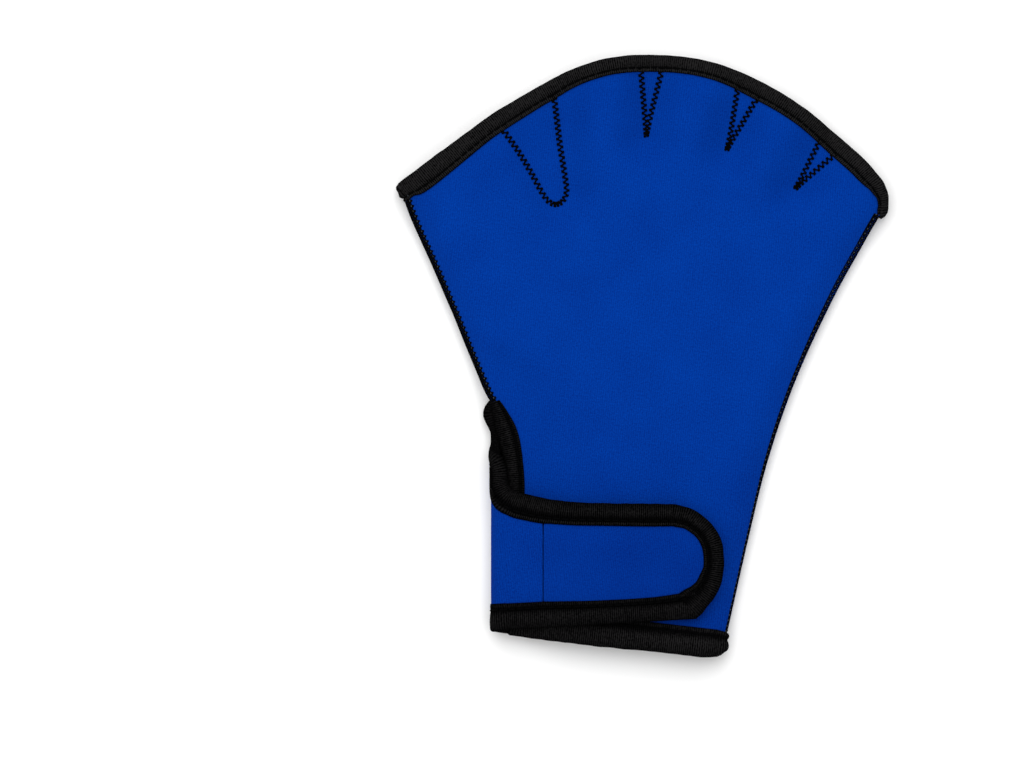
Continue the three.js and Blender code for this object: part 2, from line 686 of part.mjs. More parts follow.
// Palm panel: the hand part and, from the middle of the fold on, the base of the strap
function buildPalm() {
  const sheet = new Sheet();
  const ground = (i, j) => {
    const besideSlit = j >= cornerRow && j <= slitRow ? i : columnCount;
    const ring = Math.min(j, topRow - j, besideSlit);
    if (ring === 0) return edgeHeight;
    return ring === 1 ? lipHeight : halfCloth;
  };
  const grid = palm.map((row, j) => row.map((point, i) => sheet.add(formPalm(point, ground(i, j)))));
  const baseColumns = foldCells + baseCells;
  const base = [grid.slice(0, cornerRow + 1).map((row) => row[0])];
  for (let k = 1; k <= baseColumns; k += 1) {
    const inFold = k <= foldCells;
    const b = inFold
      ? THREE.MathUtils.lerp(baseStart, foldLength, k / foldCells)
      : foldLength + ((buttSeamPlace - foldStart) * (k - foldCells)) / baseCells;
    const p = foldStart + b - foldLength;
    const around = Math.acos(THREE.MathUtils.clamp((filletCentre.b - b) / filletRadius, -1, 1));
    const high = b < filletCentre.b ? filletCentre.a - filletRadius * Math.sin(around) : strapUpperAt(p);
    const unfolded = b - foldStart;
    const low = strapLowerAt(Math.max(unfolded, 0));
    base.push(strapLevels(low, high).map((a, j) => {
      const ring = Math.min(j, cornerRow - j);
      const height = [edgeHeight, lipHeight, halfCloth][ring];
      return sheet.add(formPalm(patternPoint(b, a), height));
    }));
  }
  for (let j = 1; j < topRow - 1; j += 1) {
    for (let i = 0; i < columnCount; i += 1) {
      const bound = i === 0 && j >= cornerRow - 1 && j < slitRow;
      if (!bound) sheet.quad(grid[j][i], grid[j][i + 1], grid[j + 1][i + 1], grid[j + 1][i]);
    }
  }
  for (let k = 0; k < baseColumns; k += 1) {
    for (let j = 1; j < cornerRow - 1; j += 1) {
      sheet.quad(base[k][j], base[k][j + 1], base[k + 1][j + 1], base[k + 1][j]);
    }
  }
  const slit = [];
  for (let j = slitRow; j > cornerRow; j -= 1) slit.push([grid[j][0], grid[j][1]]);
  slit.push([grid[cornerRow][0], grid[cornerRow][1]]);
  slit.push([grid[cornerRow][0], grid[cornerRow - 1][1]]);
  slit.push([grid[cornerRow][0], grid[cornerRow - 1][0]]);
  for (let k = 1; k <= baseColumns; k += 1) slit.push([base[k][cornerRow], base[k][cornerRow - 1]]);
  const hem = [];
  for (let k = baseColumns; k > 0; k -= 1) hem.push([base[k][0], base[k][1]]);
  for (let i = 0; i <= columnCount; i += 1) hem.push([grid[0][i], grid[1][i]]);
  const finger = grid[topRow].map((edge, i) => [edge, grid[topRow - 1][i]]);
  [slit, hem, finger].forEach((pairs) => sheet.band(pairs));
  sheet.findNormals();
  const side = Math.sign(sheet.normals[grid[slitRow][8]].z);
  return {
    solid: sheet.solid(clothThickness),
    slit: sheet.stations(slit, side),
    hem: sheet.stations(hem, side),
    finger: sheet.stations(finger, side),
  };
}

function buildBack() {
  const sheet = new Sheet();
  const grid = back.map((row) => row.map((point) => {
    return sheet.add(new THREE.Vector3(point.x, point.y, backZ(point)));
  }));
  for (let j = 1; j < topRow - 1; j += 1) {
    for (let i = 0; i < columnCount; i += 1) {
      const bound = i === 0 && j < slitRow;
      if (!bound) sheet.quad(grid[j][i], grid[j][i + 1], grid[j + 1][i + 1], grid[j + 1][i]);
    }
  }
  const edge = [];
  for (let i = columnCount; i > 0; i -= 1) edge.push([grid[0][i], grid[1][i]]);
  edge.push([grid[0][0], grid[1][1]]);
  for (let j = 1; j <= slitRow; j += 1) edge.push([grid[j][0], grid[j][1]]);
  const finger = grid[topRow].map((point, i) => [point, grid[topRow - 1][i]]).reverse();
  [edge, finger].forEach((pairs) => sheet.band(pairs));
  sheet.findNormals();
  const side = -Math.sign(sheet.normals[grid[slitRow][8]].z);
  return {
    solid: sheet.solid(clothThickness),
    edge: sheet.stations(edge, side),
    finger: sheet.stations(finger, side),
  };
}

function buildStrap() {
  const sheet = new Sheet();
  const start = buttSeamPlace + pieceClearance;
  const grid = [];
  for (let c = 0; c < strapCells; c += 1) {
    const p = THREE.MathUtils.lerp(start, strapStraightShare * strapReach, c / (strapCells - 1));
    grid.push(strapLevels(strapLowerAt(p), strapUpperAt(p)).map((a) => ({ p, a })));
  }
  const round = strapEnd.map((row) => ({ p: row.along * strapReach, a: (row.up * strapWidth) / 2 })).reverse();
  grid.push(round);
  const inner = grid[strapCells - 1];
  const insetP = (strapEnd[0].along - strapEndInset) * strapReach;
  inner[4] = { p: insetP, a: inner[5].a - 1.25 * tapeWidth };
  inner[3] = { p: round[3].p - tapeWidth, a: round[3].a };
  inner[2] = { p: round[2].p - tapeWidth, a: round[2].a };
  inner[1] = { p: insetP, a: round[1].a + 0.1 * tapeWidth };
  const points = grid.map((column) => column.map(({ p, a }) => {
    const flat = foldPoint(p, a);
    return sheet.add(new THREE.Vector3(flat.x, flat.y, strapZ(p)));
  }));
  for (let c = 0; c < strapCells - 1; c += 1) {
    for (let j = 1; j < cornerRow - 1; j += 1) {
      sheet.quad(points[c][j], points[c][j + 1], points[c + 1][j + 1], points[c + 1][j]);
    }
  }
  const lastColumn = strapCells - 1;
  const upper = [];
  for (let c = 0; c <= lastColumn; c += 1) upper.push([points[c][5], points[c][4]]);
  upper.push([points[strapCells][5], points[lastColumn][4]]);
  for (let j = 4; j > 0; j -= 1) upper.push([points[strapCells][j], points[lastColumn][j]]);
  upper.push([points[strapCells][0], points[lastColumn][1]]);
  upper.push([points[lastColumn][0], points[lastColumn][1]]);
  const lower = [];
  for (let c = lastColumn; c >= 0; c -= 1) lower.push([points[c][0], points[c][1]]);
  [upper, lower].forEach((pairs) => sheet.band(pairs));
  sheet.findNormals();
  const side = -Math.sign(sheet.normals[points[4][2]].z);
  return {
    solid: sheet.solid(clothThickness),
    upper: sheet.stations(upper, side),
    lower: sheet.stations(lower, side),
  };
}

function hookGeometry() {
  const geometry = new THREE.BoxGeometry(hookLength, hookWidth, hookThickness);
  geometry.rotateZ(tilt);
  const middleP = hookPlace + hookLength / 2;
  const centre = foldPoint(middleP, (strapUpperAt(middleP) + strapLowerAt(middleP)) / 2);
  geometry.translate(centre.x, centre.y, strapHeight - halfCloth - pieceClearance - hookThickness / 2);
  return geometry;
}

const palmPiece = buildPalm();
const backPiece = buildBack();
const strapPiece = buildStrap();

function fingerTapeGeometry() {
  const right = flatDirection(palmPiece.finger[columnCount - 1].edge, palmPiece.finger[columnCount].edge);
  const left = flatDirection(palmPiece.finger[1].edge, palmPiece.finger[0].edge);
  const littleTurn = hairpin(palmPiece.finger[columnCount], backPiece.finger[0], right);
  const thumbTurn = hairpin(palmPiece.finger[0], backPiece.finger[columnCount], left).reverse();
  const loop = [...palmPiece.finger, ...littleTurn, ...backPiece.finger, ...thumbTurn];
  return tapeGeometry(loop, true);
}

function wristTapeGeometry() {
  const strapPart = strapPiece.lower.slice();
  strapPart[0] = shifted(strapPart[0], strapPart[1], pieceClearance);
  const palmPart = palmPiece.hem;
  const sideways = flatDirection(palmPart[palmPart.length - 2].edge, palmPart[palmPart.length - 1].edge);
  const turn = hairpin(palmPart[palmPart.length - 1], backPiece.edge[0], sideways);
  return tapeGeometry([...strapPart, ...palmPart, ...turn, ...backPiece.edge], false);
}

const strapTapeGeometry = () => tapeGeometry([...palmPiece.slit, ...strapPiece.upper], false);

const cloth = { color: 0x02389b, roughness: 0.75, metalness: 0 };
const tape = { color: 0x101011, roughness: 0.65, metalness: 0 };
const pad = { color: 0x141416, roughness: 0.9, metalness: 0 };

const pieces = [
  { name: 'palm_panel', geometry: palmPiece.solid, finish: cloth },
  { name: 'back_panel', geometry: backPiece.solid, finish: cloth },
  { name: 'closure_strap', geometry: strapPiece.solid, finish: cloth },
  { name: 'hook_pad', geometry: hookGeometry(), finish: pad },
  { name: 'finger_binding', geometry: fingerTapeGeometry(), finish: tape },
  { name: 'strap_binding', geometry: strapTapeGeometry(), finish: tape },
  { name: 'wrist_binding', geometry: wristTapeGeometry(), finish: tape },
];

const glove = new THREE.Group();
pieces.forEach(({ name, geometry, finish }) => {
  const mesh = new THREE.Mesh(geometry, new THREE.MeshStandardMaterial(finish));
  mesh.name = name;
  glove.add(mesh);
});

// The origin is the middle of the glove's box, on the ground
const box = new THREE.Box3().setFromObject(glove);
const middle = box.getCenter(new THREE.Vector3());
glove.position.set(-middle.x, -middle.y, -box.min.z);
glove.updateMatrixWorld(true);

export default glove;
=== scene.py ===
import math

import bpy
import numpy as np
from mathutils import Matrix, Vector


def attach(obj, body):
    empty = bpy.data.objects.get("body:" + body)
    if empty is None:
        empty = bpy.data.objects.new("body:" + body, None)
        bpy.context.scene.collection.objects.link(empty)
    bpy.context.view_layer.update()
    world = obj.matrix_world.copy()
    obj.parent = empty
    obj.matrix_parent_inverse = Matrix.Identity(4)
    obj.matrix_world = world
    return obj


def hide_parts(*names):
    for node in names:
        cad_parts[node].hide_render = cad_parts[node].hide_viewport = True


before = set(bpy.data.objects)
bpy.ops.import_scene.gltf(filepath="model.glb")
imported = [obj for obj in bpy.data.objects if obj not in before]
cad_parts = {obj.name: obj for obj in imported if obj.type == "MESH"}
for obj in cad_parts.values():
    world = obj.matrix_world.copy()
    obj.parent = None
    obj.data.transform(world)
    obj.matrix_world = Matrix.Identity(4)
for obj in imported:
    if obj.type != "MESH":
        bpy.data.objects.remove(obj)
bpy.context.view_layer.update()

# A right-hand webbed swim glove that lies on its palm. The pattern is in millimetres: x across the hand,
# y from the hem to the fingers, with its origin on the hem. A mesh is moved to the frame when it is made.
patternToFrame = (6.496, -109.183)
mm = 0.001

pattern = {
    "gloveLength": 218.4,
    "fanWidth": 177.3,
    "fanRise": 52.3,
    "fanSlope": 13.7,
    "wristWidth": 86.5,
    "slitHeight": 83.8,
    "foldOpens": 44.0,        # height up the fold where it starts to open towards the slit's top
    "thumbSideShare": 0.5346,
    "hemRightShare": 0.4705,
    "foldShare": 1.024,
    "slitShare": 1.097,
    "freeEdgeSetBack": 0.9,
    "hemSlope": 0.11,
}

strapCut = {
    "tilt": 6.4,
    "reach": 84.7,
    "width": 44.1,
    "buttSeam": 19.6,
    "rise": 28.0,
    "lowerSlope": 0.058,
    "seamGap": 0.74,
    "groove": 0.4,            # depth of the dip along the butt seam
    "grooveReach": 1.3,
    "roundRows": 21,          # rows of cells in the round end, which start at this share of the reach
    "roundRowStart": 0.68,
    "pillow": 0.9,
}

cloth = {
    "thickness": 2.0,
    "cell": 1.45,             # size of a mesh cell
    "handHollow": 5.9,
    "fingerMouth": 9.7,       # height of the back's edge at the fingers
    "mouthOpening": 4.72,
    "seamReach": 11.0,
    "webReach": 15.0,
    "slitReach": 26.0,
    "mouthReach": 20.0,
    "layerClearance": 0.25,
    "wave": 0.28,             # slow unevenness of the foam
    "pucker": 0.25,           # how deep a row of zigzag stitches pulls the cloth in
    "puckerReach": 2.6,
    "puckerFade": 8.0,
    "waveFade": 14.0,
    "lipFade": 12.0,          # from the tape's lip to where the palm lies flat on the ground
}

tape = {
    "width": 6.1,
    "roll": 0.85,
    "lip": 0.5,
    "clearance": 0.15,
    "stackClearance": 0.2,
    "groundClearance": 0.08,
    "turnClearance": 0.7,
    "step": 1.1,              # length of a mesh cell along the tape
    "ripple": 0.08,
    "backHemWidth": 9.0,
    "fingerBulge": 0.72,
    "thumbSwell": 0.9,        # added to the finger tape's bulge towards the thumb
    "littleSwell": 0.4,
    "slitSwell": 0.3,
    "strapBulge": 0.36,
    "foldSquash": 0.35,       # share of the lower tape's height where it goes round the fold
    "lowerBulge": 0.55,       # share of the bulge on the strap's lower edge
    "lowerEndBulge": 0.4,
    "cornerTrim": 3.3,        # the hem's corners stand this much inside the side seam
    "cornerReach": 10.0,
    "overlap": 4.0,           # the upper tape ends over the lower one
    "overlapRise": 0.22,
    "overlapPlace": (0.886, -0.366),     # shares of the strap's reach and width
    "lowerStart": 76.4,       # place along the strap where the lower tape is cut off square
    "upperEnd": 0.78,         # share of the reach where the upper tape's path turns into the round end's
    "drawn": 0.3,             # how far a tape's own edge is drawn in at a turn
    "hemDrawn": 0.26,
    "thumbDrawn": 0.4,
    "thumbFar": 0.35,         # share of a round turn's reach
    "thumbAngle": -10.0,
    "fingerPaintedTone": 1.35,       # painted light and shade: how light each tape is painted, lighter on the finger edge, darker on the strap and the hem
    "strapPaintedTone": 0.52,
    "hemPaintedTone": 0.82,
    "stitchLength": 2.1,
    "stitchGap": 0.95,
    "stitchThickness": 0.8,
    "stitchLift": 0.16,
}
# places of the stitches, as shares of the way to the lip
stitchShares = {
    "finger": 0.68,
    "finger_back": 0.68,
    "strap": 0.68,
    "wrist": 0.74,
    "wrist_back": 0.76,
    "slit_back": 0.72,
}

# share of the width, share of the rise
fingerEdge = [(0, 0), (0.1426, 0.472), (0.2197, 0.666), (0.2972, 0.8337), (0.3363, 0.898), (0.3757, 0.946),
              (0.4156, 0.976), (0.4563, 0.9916), (0.4973, 0.9957), (0.5388, 0.989), (0.5807, 0.9724),
              (0.6226, 0.943), (0.6652, 0.8975), (0.7085, 0.837), (0.7523, 0.7635), (0.8053, 0.6596),
              (0.842, 0.5738), (0.8948, 0.438), (0.9449, 0.3016), (0.9643, 0.2378), (0.9833, 0.1676),
              (0.993, 0.106), (0.9985, 0.051), (1, 0)]
# share of the thumb side seam's height, distance from the straight line
thumbSeam = [(0, 0), (0.05, -0.7), (0.16, -0.85), (0.28, -1.0), (0.4, -0.95), (0.52, -1.25), (0.635, -1.5),
             (0.75, -2.0), (0.87, -2.4), (0.94, -2.1), (1, -1.6)]
# share of the little finger's side seam, share of its flare
littleSeam = [(0, 0), (0.254, 0.115), (0.43, 0.213), (0.608, 0.38), (0.788, 0.627), (0.923, 0.859), (1, 1)]
# share of the width, share of the tape's width
fingerTape = [(0, 0.82), (0.01, 1.02), (0.03, 1.08), (0.1, 1.08), (0.3, 0.92), (0.45, 0.84), (0.6, 0.86),
              (0.72, 0.93), (0.85, 0.92), (0.95, 0.98), (0.975, 0.9), (0.992, 0.7), (1, 0.45)]
# distance from the slit's top, width of the back's tape
slitTaper = [(0, 2.6), (3.7, 3.9), (7.4, 5.3), (10.5, 6.0), (15, 6.1), (20, 5.8), (26, 5.55), (60, 5.55)]
# the back's free edge beside the slit: along the strap, up
slitBack = [(7.0, 29.7), (6.9, 32.7), (6.6, 37.1), (5.8, 42.4), (4.7, 47.2), (3.2, 52.0), (2.5, 55.0),
            (1.7, 58.7)]
# the palm's edge beside the slit: round the fold, up. It turns over to the strap's upper edge.
slitPalm = [(5.1, 62.07), (6.1, 60.2), (6.9, 57.8), (6.6, 55.6), (5.8, 53.4), (5.1, 51.5), (4.9, 48.8),
            (5.6, 45.6), (11.6, 41.2), (13.6, 37.0), (14.0, 32.5), (15.2, 30.0), (16.9, 28.4), (20.5, 26.8)]
# share of the back's hem from the right, share of the tape's bulge
hemBulge = [(0, 0.9), (0.02, 1.15), (0.06, 1.3), (0.25, 1.2), (0.5, 1.5), (0.75, 1.5), (1, 1.3)]
# place along the strap, width added to the tape above and below
strapTapeAbove = [(-8, 0), (0, 0.2), (4, 0.9), (8.6, 2.1), (14, 2.1), (25, 1.0), (40, 0.5), (60, 0.5),
                  (72, 0.1), (78, -0.35), (86, -0.3)]
strapTapeBelow = [(0, 3.0), (20, 3.0), (40, 2.3), (60, 2.3), (70, 3.1), (74.4, 3.4), (77.5, 3.0), (80, 1.8),
                  (82, 1.2), (83.9, 0.6), (84.7, -0.25), (86, -0.3)]
# share of the strap's reach, share of half its width
strapTop = [(0.067, 1.256), (0.144, 1.206), (0.231, 1.115), (0.354, 1.052), (0.496, 1.03), (0.8, 1.016)]
strapRound = [(0.831, 0.99), (0.866, 0.955), (0.897, 0.886), (0.952, 0.706), (0.988, 0.466), (1, 0.196),
              (0.995, -0.091), (0.971, -0.372), (0.916, -0.636), (0.877, -0.762)]
straightShare = 0.8           # where the strap's round end starts, as a share of its reach

halfCloth = cloth["thickness"] / 2
rollHeight = halfCloth + tape["clearance"] + tape["roll"]
lipTop = halfCloth + tape["clearance"] + tape["lip"]
edgeHeight = rollHeight + tape["groundClearance"]
lipHeight = lipTop + tape["groundClearance"]
stackStep = 2 * rollHeight + tape["stackClearance"]
boundHeight = edgeHeight + stackStep
foldTop = boundHeight + stackStep
backHeight = cloth["thickness"] + cloth["handHollow"] + halfCloth
mouthHeight = edgeHeight + 2 * rollHeight + cloth["mouthOpening"]
strapHeight = mouthHeight + stackStep

thumbCorner = np.array([-pattern["thumbSideShare"] * pattern["fanWidth"],
                        pattern["gloveLength"] - pattern["fanRise"] - pattern["fanSlope"] / 2])
littleCorner = thumbCorner + [pattern["fanWidth"], pattern["fanSlope"]]
hemRight = np.array([pattern["hemRightShare"] * pattern["wristWidth"], 0.0])
slitTop = np.array([hemRight[0] - pattern["slitShare"] * pattern["wristWidth"], pattern["slitHeight"]])

tilt = math.radians(strapCut["tilt"])
along = np.array([math.cos(tilt), math.sin(tilt)])
upward = np.array([-math.sin(tilt), math.cos(tilt)])
foldOrigin = np.array([hemRight[0] - pattern["foldShare"] * pattern["wristWidth"], strapCut["width"] / 2])
foldRadius = (foldTop - halfCloth) / 2
foldStart = foldRadius + halfCloth
foldLength = math.pi * foldRadius


def follow(table, at):
    # smooth curve through the table's points
    table = np.array(table, float)
    at = np.asarray(at, float)
    xs, ys = table[:, 0], table[:, 1]
    last = len(xs) - 1
    i = np.clip(np.searchsorted(xs, at), 1, last)
    before, after = np.maximum(i - 2, 0), np.minimum(i + 1, last)
    span = xs[i] - xs[i - 1]
    t = np.clip((at - xs[i - 1]) / span, 0, 1)
    slopeIn = (ys[i] - ys[before]) / (xs[i] - xs[before]) * span
    slopeOut = (ys[after] - ys[i - 1]) / (xs[after] - xs[i - 1]) * span
    return ((2 * t**3 - 3 * t**2 + 1) * ys[i - 1] + (t**3 - 2 * t**2 + t) * slopeIn
            + (3 * t**2 - 2 * t**3) * ys[i] + (t**3 - t**2) * slopeOut)


def mix(a, b, t):
    return a + (b - a) * t


def smooth(t):
    t = np.clip(t, 0, 1)
    return t * t * (3 - 2 * t)


def swell(t):
    return np.sin(math.pi / 2 * np.clip(t, 0, 1))


def unit(vectors):
    return vectors / np.maximum(np.linalg.norm(vectors, axis=-1, keepdims=True), 1e-9)


def leftOf(direction):
    return np.stack([-direction[:, 1], direction[:, 0]], -1)


def pairs(x, y):
    x, y = np.broadcast_arrays(np.asarray(x, float), np.asarray(y, float))
    return np.stack([x, y], -1)


def foldPoint(p, a):
    p, a = np.broadcast_arrays(np.asarray(p, float), np.asarray(a, float))
    return foldOrigin + p[..., None] * along + a[..., None] * upward


def leftSeam(t):
    t = np.asarray(t, float)
    line = mix(slitTop, thumbCorner, t[..., None])
    return line + pairs(follow(thumbSeam, t), 0)


def rightSeam(share):
    return pairs(mix(hemRight[0], littleCorner[0], follow(littleSeam, share)),
                 mix(hemRight[1], littleCorner[1], np.asarray(share, float)))


def edgePoint(across):
    across = np.asarray(across, float)
    line = mix(thumbCorner, littleCorner, across[..., None])
    bow = thumbSeam[-1][1] * (1 - across)**12
    return line + pairs(bow, pattern["fanRise"] * follow(fingerEdge, across))


def strapUpperAt(p):
    return strapCut["width"] / 2 * follow(strapTop, np.asarray(p, float) / strapCut["reach"])


def strapLowerAt(p):
    return -strapCut["width"] / 2 + strapCut["lowerSlope"] * np.maximum(p, 0)


def hemAt(p):
    return -strapCut["width"] / 2 - pattern["hemSlope"] * p


def strapZ(p):
    return mix(foldTop, strapHeight, smooth((p - foldStart) / strapCut["rise"]))


buttB = strapCut["buttSeam"] + foldLength - foldStart


def patternPoint(b, a):
    return foldPoint(foldStart - np.asarray(b, float), a)


def overPlace(b):
    return foldStart + b - foldLength


def lengthsAlong(line):
    return np.concatenate([[0], np.cumsum(np.linalg.norm(np.diff(line, axis=0), axis=1))])


def pointsAt(line, lengths, at):
    return np.stack([np.interp(at, lengths, column) for column in line.T], -1)


def evenly(line, step):
    # the same line with points one step apart
    line = np.asarray(line, float)
    lengths = lengthsAlong(line)
    return pointsAt(line, lengths, np.linspace(0, lengths[-1], max(int(round(lengths[-1] / step)), 1) + 1))


def rounded(line, step):
    # smooth line through a few points
    line = np.asarray(line, float)
    lengths = lengthsAlong(line)
    at = np.linspace(0, lengths[-1], max(int(lengths[-1] / step), 2) + 1)
    return np.stack([follow(list(zip(lengths, column)), at) for column in line.T], -1)


def distanceTo(points, *lines):
    best = np.full(points.shape[:-1], np.inf)
    for start, end in (ends for line in lines for ends in zip(line[:-1], line[1:])):
        side = end - start
        t = np.clip(((points - start) @ side) / max(side @ side, 1e-9), 0, 1)
        best = np.minimum(best, np.linalg.norm(points - (start + t[..., None] * side), axis=-1))
    return best


# Rows of zigzag stitches that close the webs between the fingers
darts = {
    "thumb": [(-62.3, 185.1), (-56.6, 178.6), (-50.4, 170.7), (-44.6, 162.6), (-41.9, 160.1),
              (-38.9, 159.4), (-36.2, 161.2), (-35.5, 165.2), (-37.2, 172.0), (-40.0, 182.0), (-44.6, 200.8)],
    "index": [(-13.8, 214.2), (-11.3, 202.0), (-8.5, 189.0)],
    "indexBack": [(-8.3, 188.2), (-6.9, 200.0), (-4.9, 215.0)],
    "middle": [(23.2, 210.6), (22.7, 198.0), (22.0, 187.2)],
    "middleBack": [(21.9, 186.5), (26.4, 196.0), (31.6, 207.8)],
    "ring": [(56.4, 195.6), (52.6, 185.0), (49.0, 175.6)],
    "ringBack": [(48.9, 175.1), (55.6, 182.2), (62.9, 190.0)],
}
dartLines = {name: rounded(line, 0.5) for name, line in darts.items()}

dartCells = [0.21, 0.294, 0.485, 0.688, 0.87]
dartTips = [(-0.219, 0.735), (-0.202, 0.755), (-0.0485, 0.862), (0.1246, 0.855), (0.2752, 0.802)]
tips = [np.array([x * pattern["fanWidth"], y * pattern["gloveLength"]]) for x, y in dartTips]
tops = [edgePoint(at) for at in dartCells]
valleys = [np.array([tops[0], tips[0], tips[1], tops[1]])]
valleys += [np.array([tops[k], tips[k]]) for k in (2, 3, 4)]
sideSeams = [leftSeam(np.linspace(0, 1, 13)), rightSeam(np.linspace(0, 1, 13))]
webOutline = [mix(tips[0], tops[0], 1.4), tips[0], tips[1], mix(tips[1], tops[1], 1.4)]


def insideWeb(points):
    inside = np.zeros(points.shape[:-1], bool)
    for k, corner in enumerate(webOutline):
        after = webOutline[(k + 1) % 4]
        rise = after[1] - corner[1]
        rise = rise if abs(rise) > 1e-9 else 1e-9
        x = corner[0] + (points[..., 1] - corner[1]) / rise * (after[0] - corner[0])
        crosses = (corner[1] > points[..., 1]) != (after[1] > points[..., 1])
        inside ^= crosses & (points[..., 0] < x)
    return inside


# The palm's edge beside the slit, down to its narrowest place and from there to the strap's upper edge
slitSides = rounded(slitPalm, 0.5)
narrow = int(np.argmin(np.where(slitSides[:, 1] < 55, slitSides[:, 0], np.inf)))
slitAbove = slitSides[:narrow + 1]
baseStart = float(slitSides[narrow, 0])

# Free edge of the back beside the fold, from the hem to the top of the slit
freeEdgePlace = foldStart + pattern["freeEdgeSetBack"]
hemLeft = foldPoint(freeEdgePlace, hemAt(freeEdgePlace))
freeStart = foldPoint(freeEdgePlace, hemAt(freeEdgePlace) + strapCut["width"])
freeCurve = rounded([freeStart, *(foldPoint(p, a) for p, a in slitBack), slitTop], 0.7)
freeEdge = np.concatenate([[hemLeft], freeCurve])
fingerLine = edgePoint(np.linspace(0, 1, 60))
backHem = np.array([hemLeft, hemRight])


def backPlace(points):
    # a point of the back panel's pattern, on the middle of its cloth
    toSeam = distanceTo(points, *sideSeams)
    toWeb = np.where(insideWeb(points), 0, distanceTo(points, *valleys))
    toFree = distanceTo(points, freeEdge)
    toFingers = distanceTo(points, fingerLine)
    toMouth = np.minimum(toFingers, distanceTo(points, backHem))
    nearOpening = 1 - smooth(np.minimum(toMouth, toFree) / cloth["mouthReach"])
    nearMouth = 1 - smooth(toMouth / cloth["mouthReach"])
    sewnHeight = cloth["thickness"] + cloth["layerClearance"] + halfCloth
    low = mix(sewnHeight, boundHeight, nearOpening)
    mouth = np.where(toMouth < toFingers, mouthHeight, cloth["fingerMouth"])
    high = mix(backHeight, mouth, nearMouth)
    rise = np.minimum(swell(toSeam / cloth["seamReach"]), smooth(toFree / cloth["slitReach"]))
    rise = np.minimum(rise, smooth(toWeb / cloth["webReach"]))
    z = low + (high - low) * rise
    inner = smooth(np.minimum(toMouth, toFree) / cloth["waveFade"])
    slow = (np.sin(points[..., 0] / 13.0 + 1.3 * np.sin(points[..., 1] / 21.0))
            + np.sin(points[..., 1] / 17.0 + 0.9 * np.sin(points[..., 0] / 15.0)))
    z = z + cloth["wave"] * slow / 2 * inner * rise
    puckerDepth = cloth["pucker"] * smooth(toMouth / cloth["puckerFade"])
    for line in dartLines.values():
        z = z - puckerDepth * np.exp(-(distanceTo(points, line) / cloth["puckerReach"])**2)
    return np.concatenate([points, z[..., None]], -1)


# The strap's round end, from the lower edge round to the upper one
straightEnd = straightShare * strapCut["reach"]
roundEnd = [(straightEnd, float(strapLowerAt(straightEnd)))]
roundEnd += [(x * strapCut["reach"], y * strapCut["width"] / 2) for x, y in reversed(strapRound)]
roundEnd += [(straightEnd, float(strapUpperAt(straightEnd)))]
roundEnd = rounded(roundEnd, 0.5)


def strapPattern(place):
    # strap places (along, up) as pattern points
    return patternPoint(place[..., 0] + foldLength - foldStart, place[..., 1])


strapPs = np.linspace(0, straightEnd, 24)
strapOutline = np.concatenate([strapPattern(pairs(strapPs, strapLowerAt(strapPs))), strapPattern(roundEnd),
                               strapPattern(pairs(strapPs, strapUpperAt(strapPs)))[::-1]])
upperBs = np.linspace(slitSides[-1, 0], buttB, 20)[1:]
slitAndBase = np.concatenate([slitSides, pairs(upperBs, strapUpperAt(overPlace(upperBs)))])
slitLine = patternPoint(slitAndBase[:, 0], slitAndBase[:, 1])
lowerBs = np.linspace(buttB, baseStart, 24)
palmHem = np.concatenate([patternPoint(lowerBs, strapLowerAt(overPlace(lowerBs))), [hemRight]])


def palmPlace(points):
    # a point of the palm panel's pattern, on the middle of its cloth, bent round the fold
    offset = points - foldOrigin
    p, a = offset @ along, offset @ upward
    toEdge = distanceTo(points, fingerLine, palmHem, slitLine)
    ground = np.where(toEdge < tape["width"], mix(edgeHeight, lipHeight, toEdge / tape["width"]),
                      mix(lipHeight, halfCloth, smooth((toEdge - tape["width"]) / cloth["lipFade"])))
    b = foldStart - p
    slitA = (slitTop - foldOrigin) @ upward
    opened = smooth((a - pattern["foldOpens"]) / (slitA - pattern["foldOpens"]))
    bend = (1 - opened) / foldRadius
    turn = b * bend
    flattening = (foldTop - ground) / (2 * foldRadius)
    safe = np.maximum(bend, 1e-4)
    reach = np.where(bend > 1e-4, np.sin(turn) / safe, b)
    rise = np.where(bend > 1e-4, (1 - np.cos(turn)) / safe * flattening, 0)
    bent = foldPoint(foldStart - reach, a)
    over = overPlace(b)
    laid = foldPoint(over, a)
    flat = b <= 0
    past = (turn >= math.pi) & ~flat
    xy = np.where(flat[..., None], points, np.where(past[..., None], laid, bent))
    toStrapEdge = distanceTo(points, strapOutline)
    pillow = strapCut["pillow"] * smooth((toStrapEdge - tape["width"]) / 8) * smooth(over / 12)
    groove = strapCut["groove"] * np.exp(-((over - strapCut["buttSeam"]) / strapCut["grooveReach"])**2)
    pillow = pillow - groove * smooth((toStrapEdge - tape["width"]) / 4)
    z = np.where(flat, ground, np.where(past, strapZ(over) + pillow, ground + rise))
    return np.concatenate([xy, z[..., None]], -1)


# Meshes

def makeObject(name, vertices, faces, uvs=None):
    mesh = bpy.data.meshes.new(name)
    placed = np.asarray(vertices, float).reshape(-1, 3) + [*patternToFrame, 0]
    mesh.from_pydata((placed * mm).tolist(), [], [list(map(int, face)) for face in faces])
    if uvs is not None:
        layer = mesh.uv_layers.new(name="pattern")
        loops = np.empty(len(mesh.loops), int)
        mesh.loops.foreach_get("vertex_index", loops)
        layer.data.foreach_set("uv", np.asarray(uvs, float).reshape(-1, 2)[loops].ravel())
    mesh.validate()
    obj = bpy.data.objects.new(name, mesh)
    bpy.context.collection.objects.link(obj)
    return obj


def choose(obj):
    bpy.ops.object.select_all(action="DESELECT")
    obj.select_set(True)
    bpy.context.view_layer.objects.active = obj


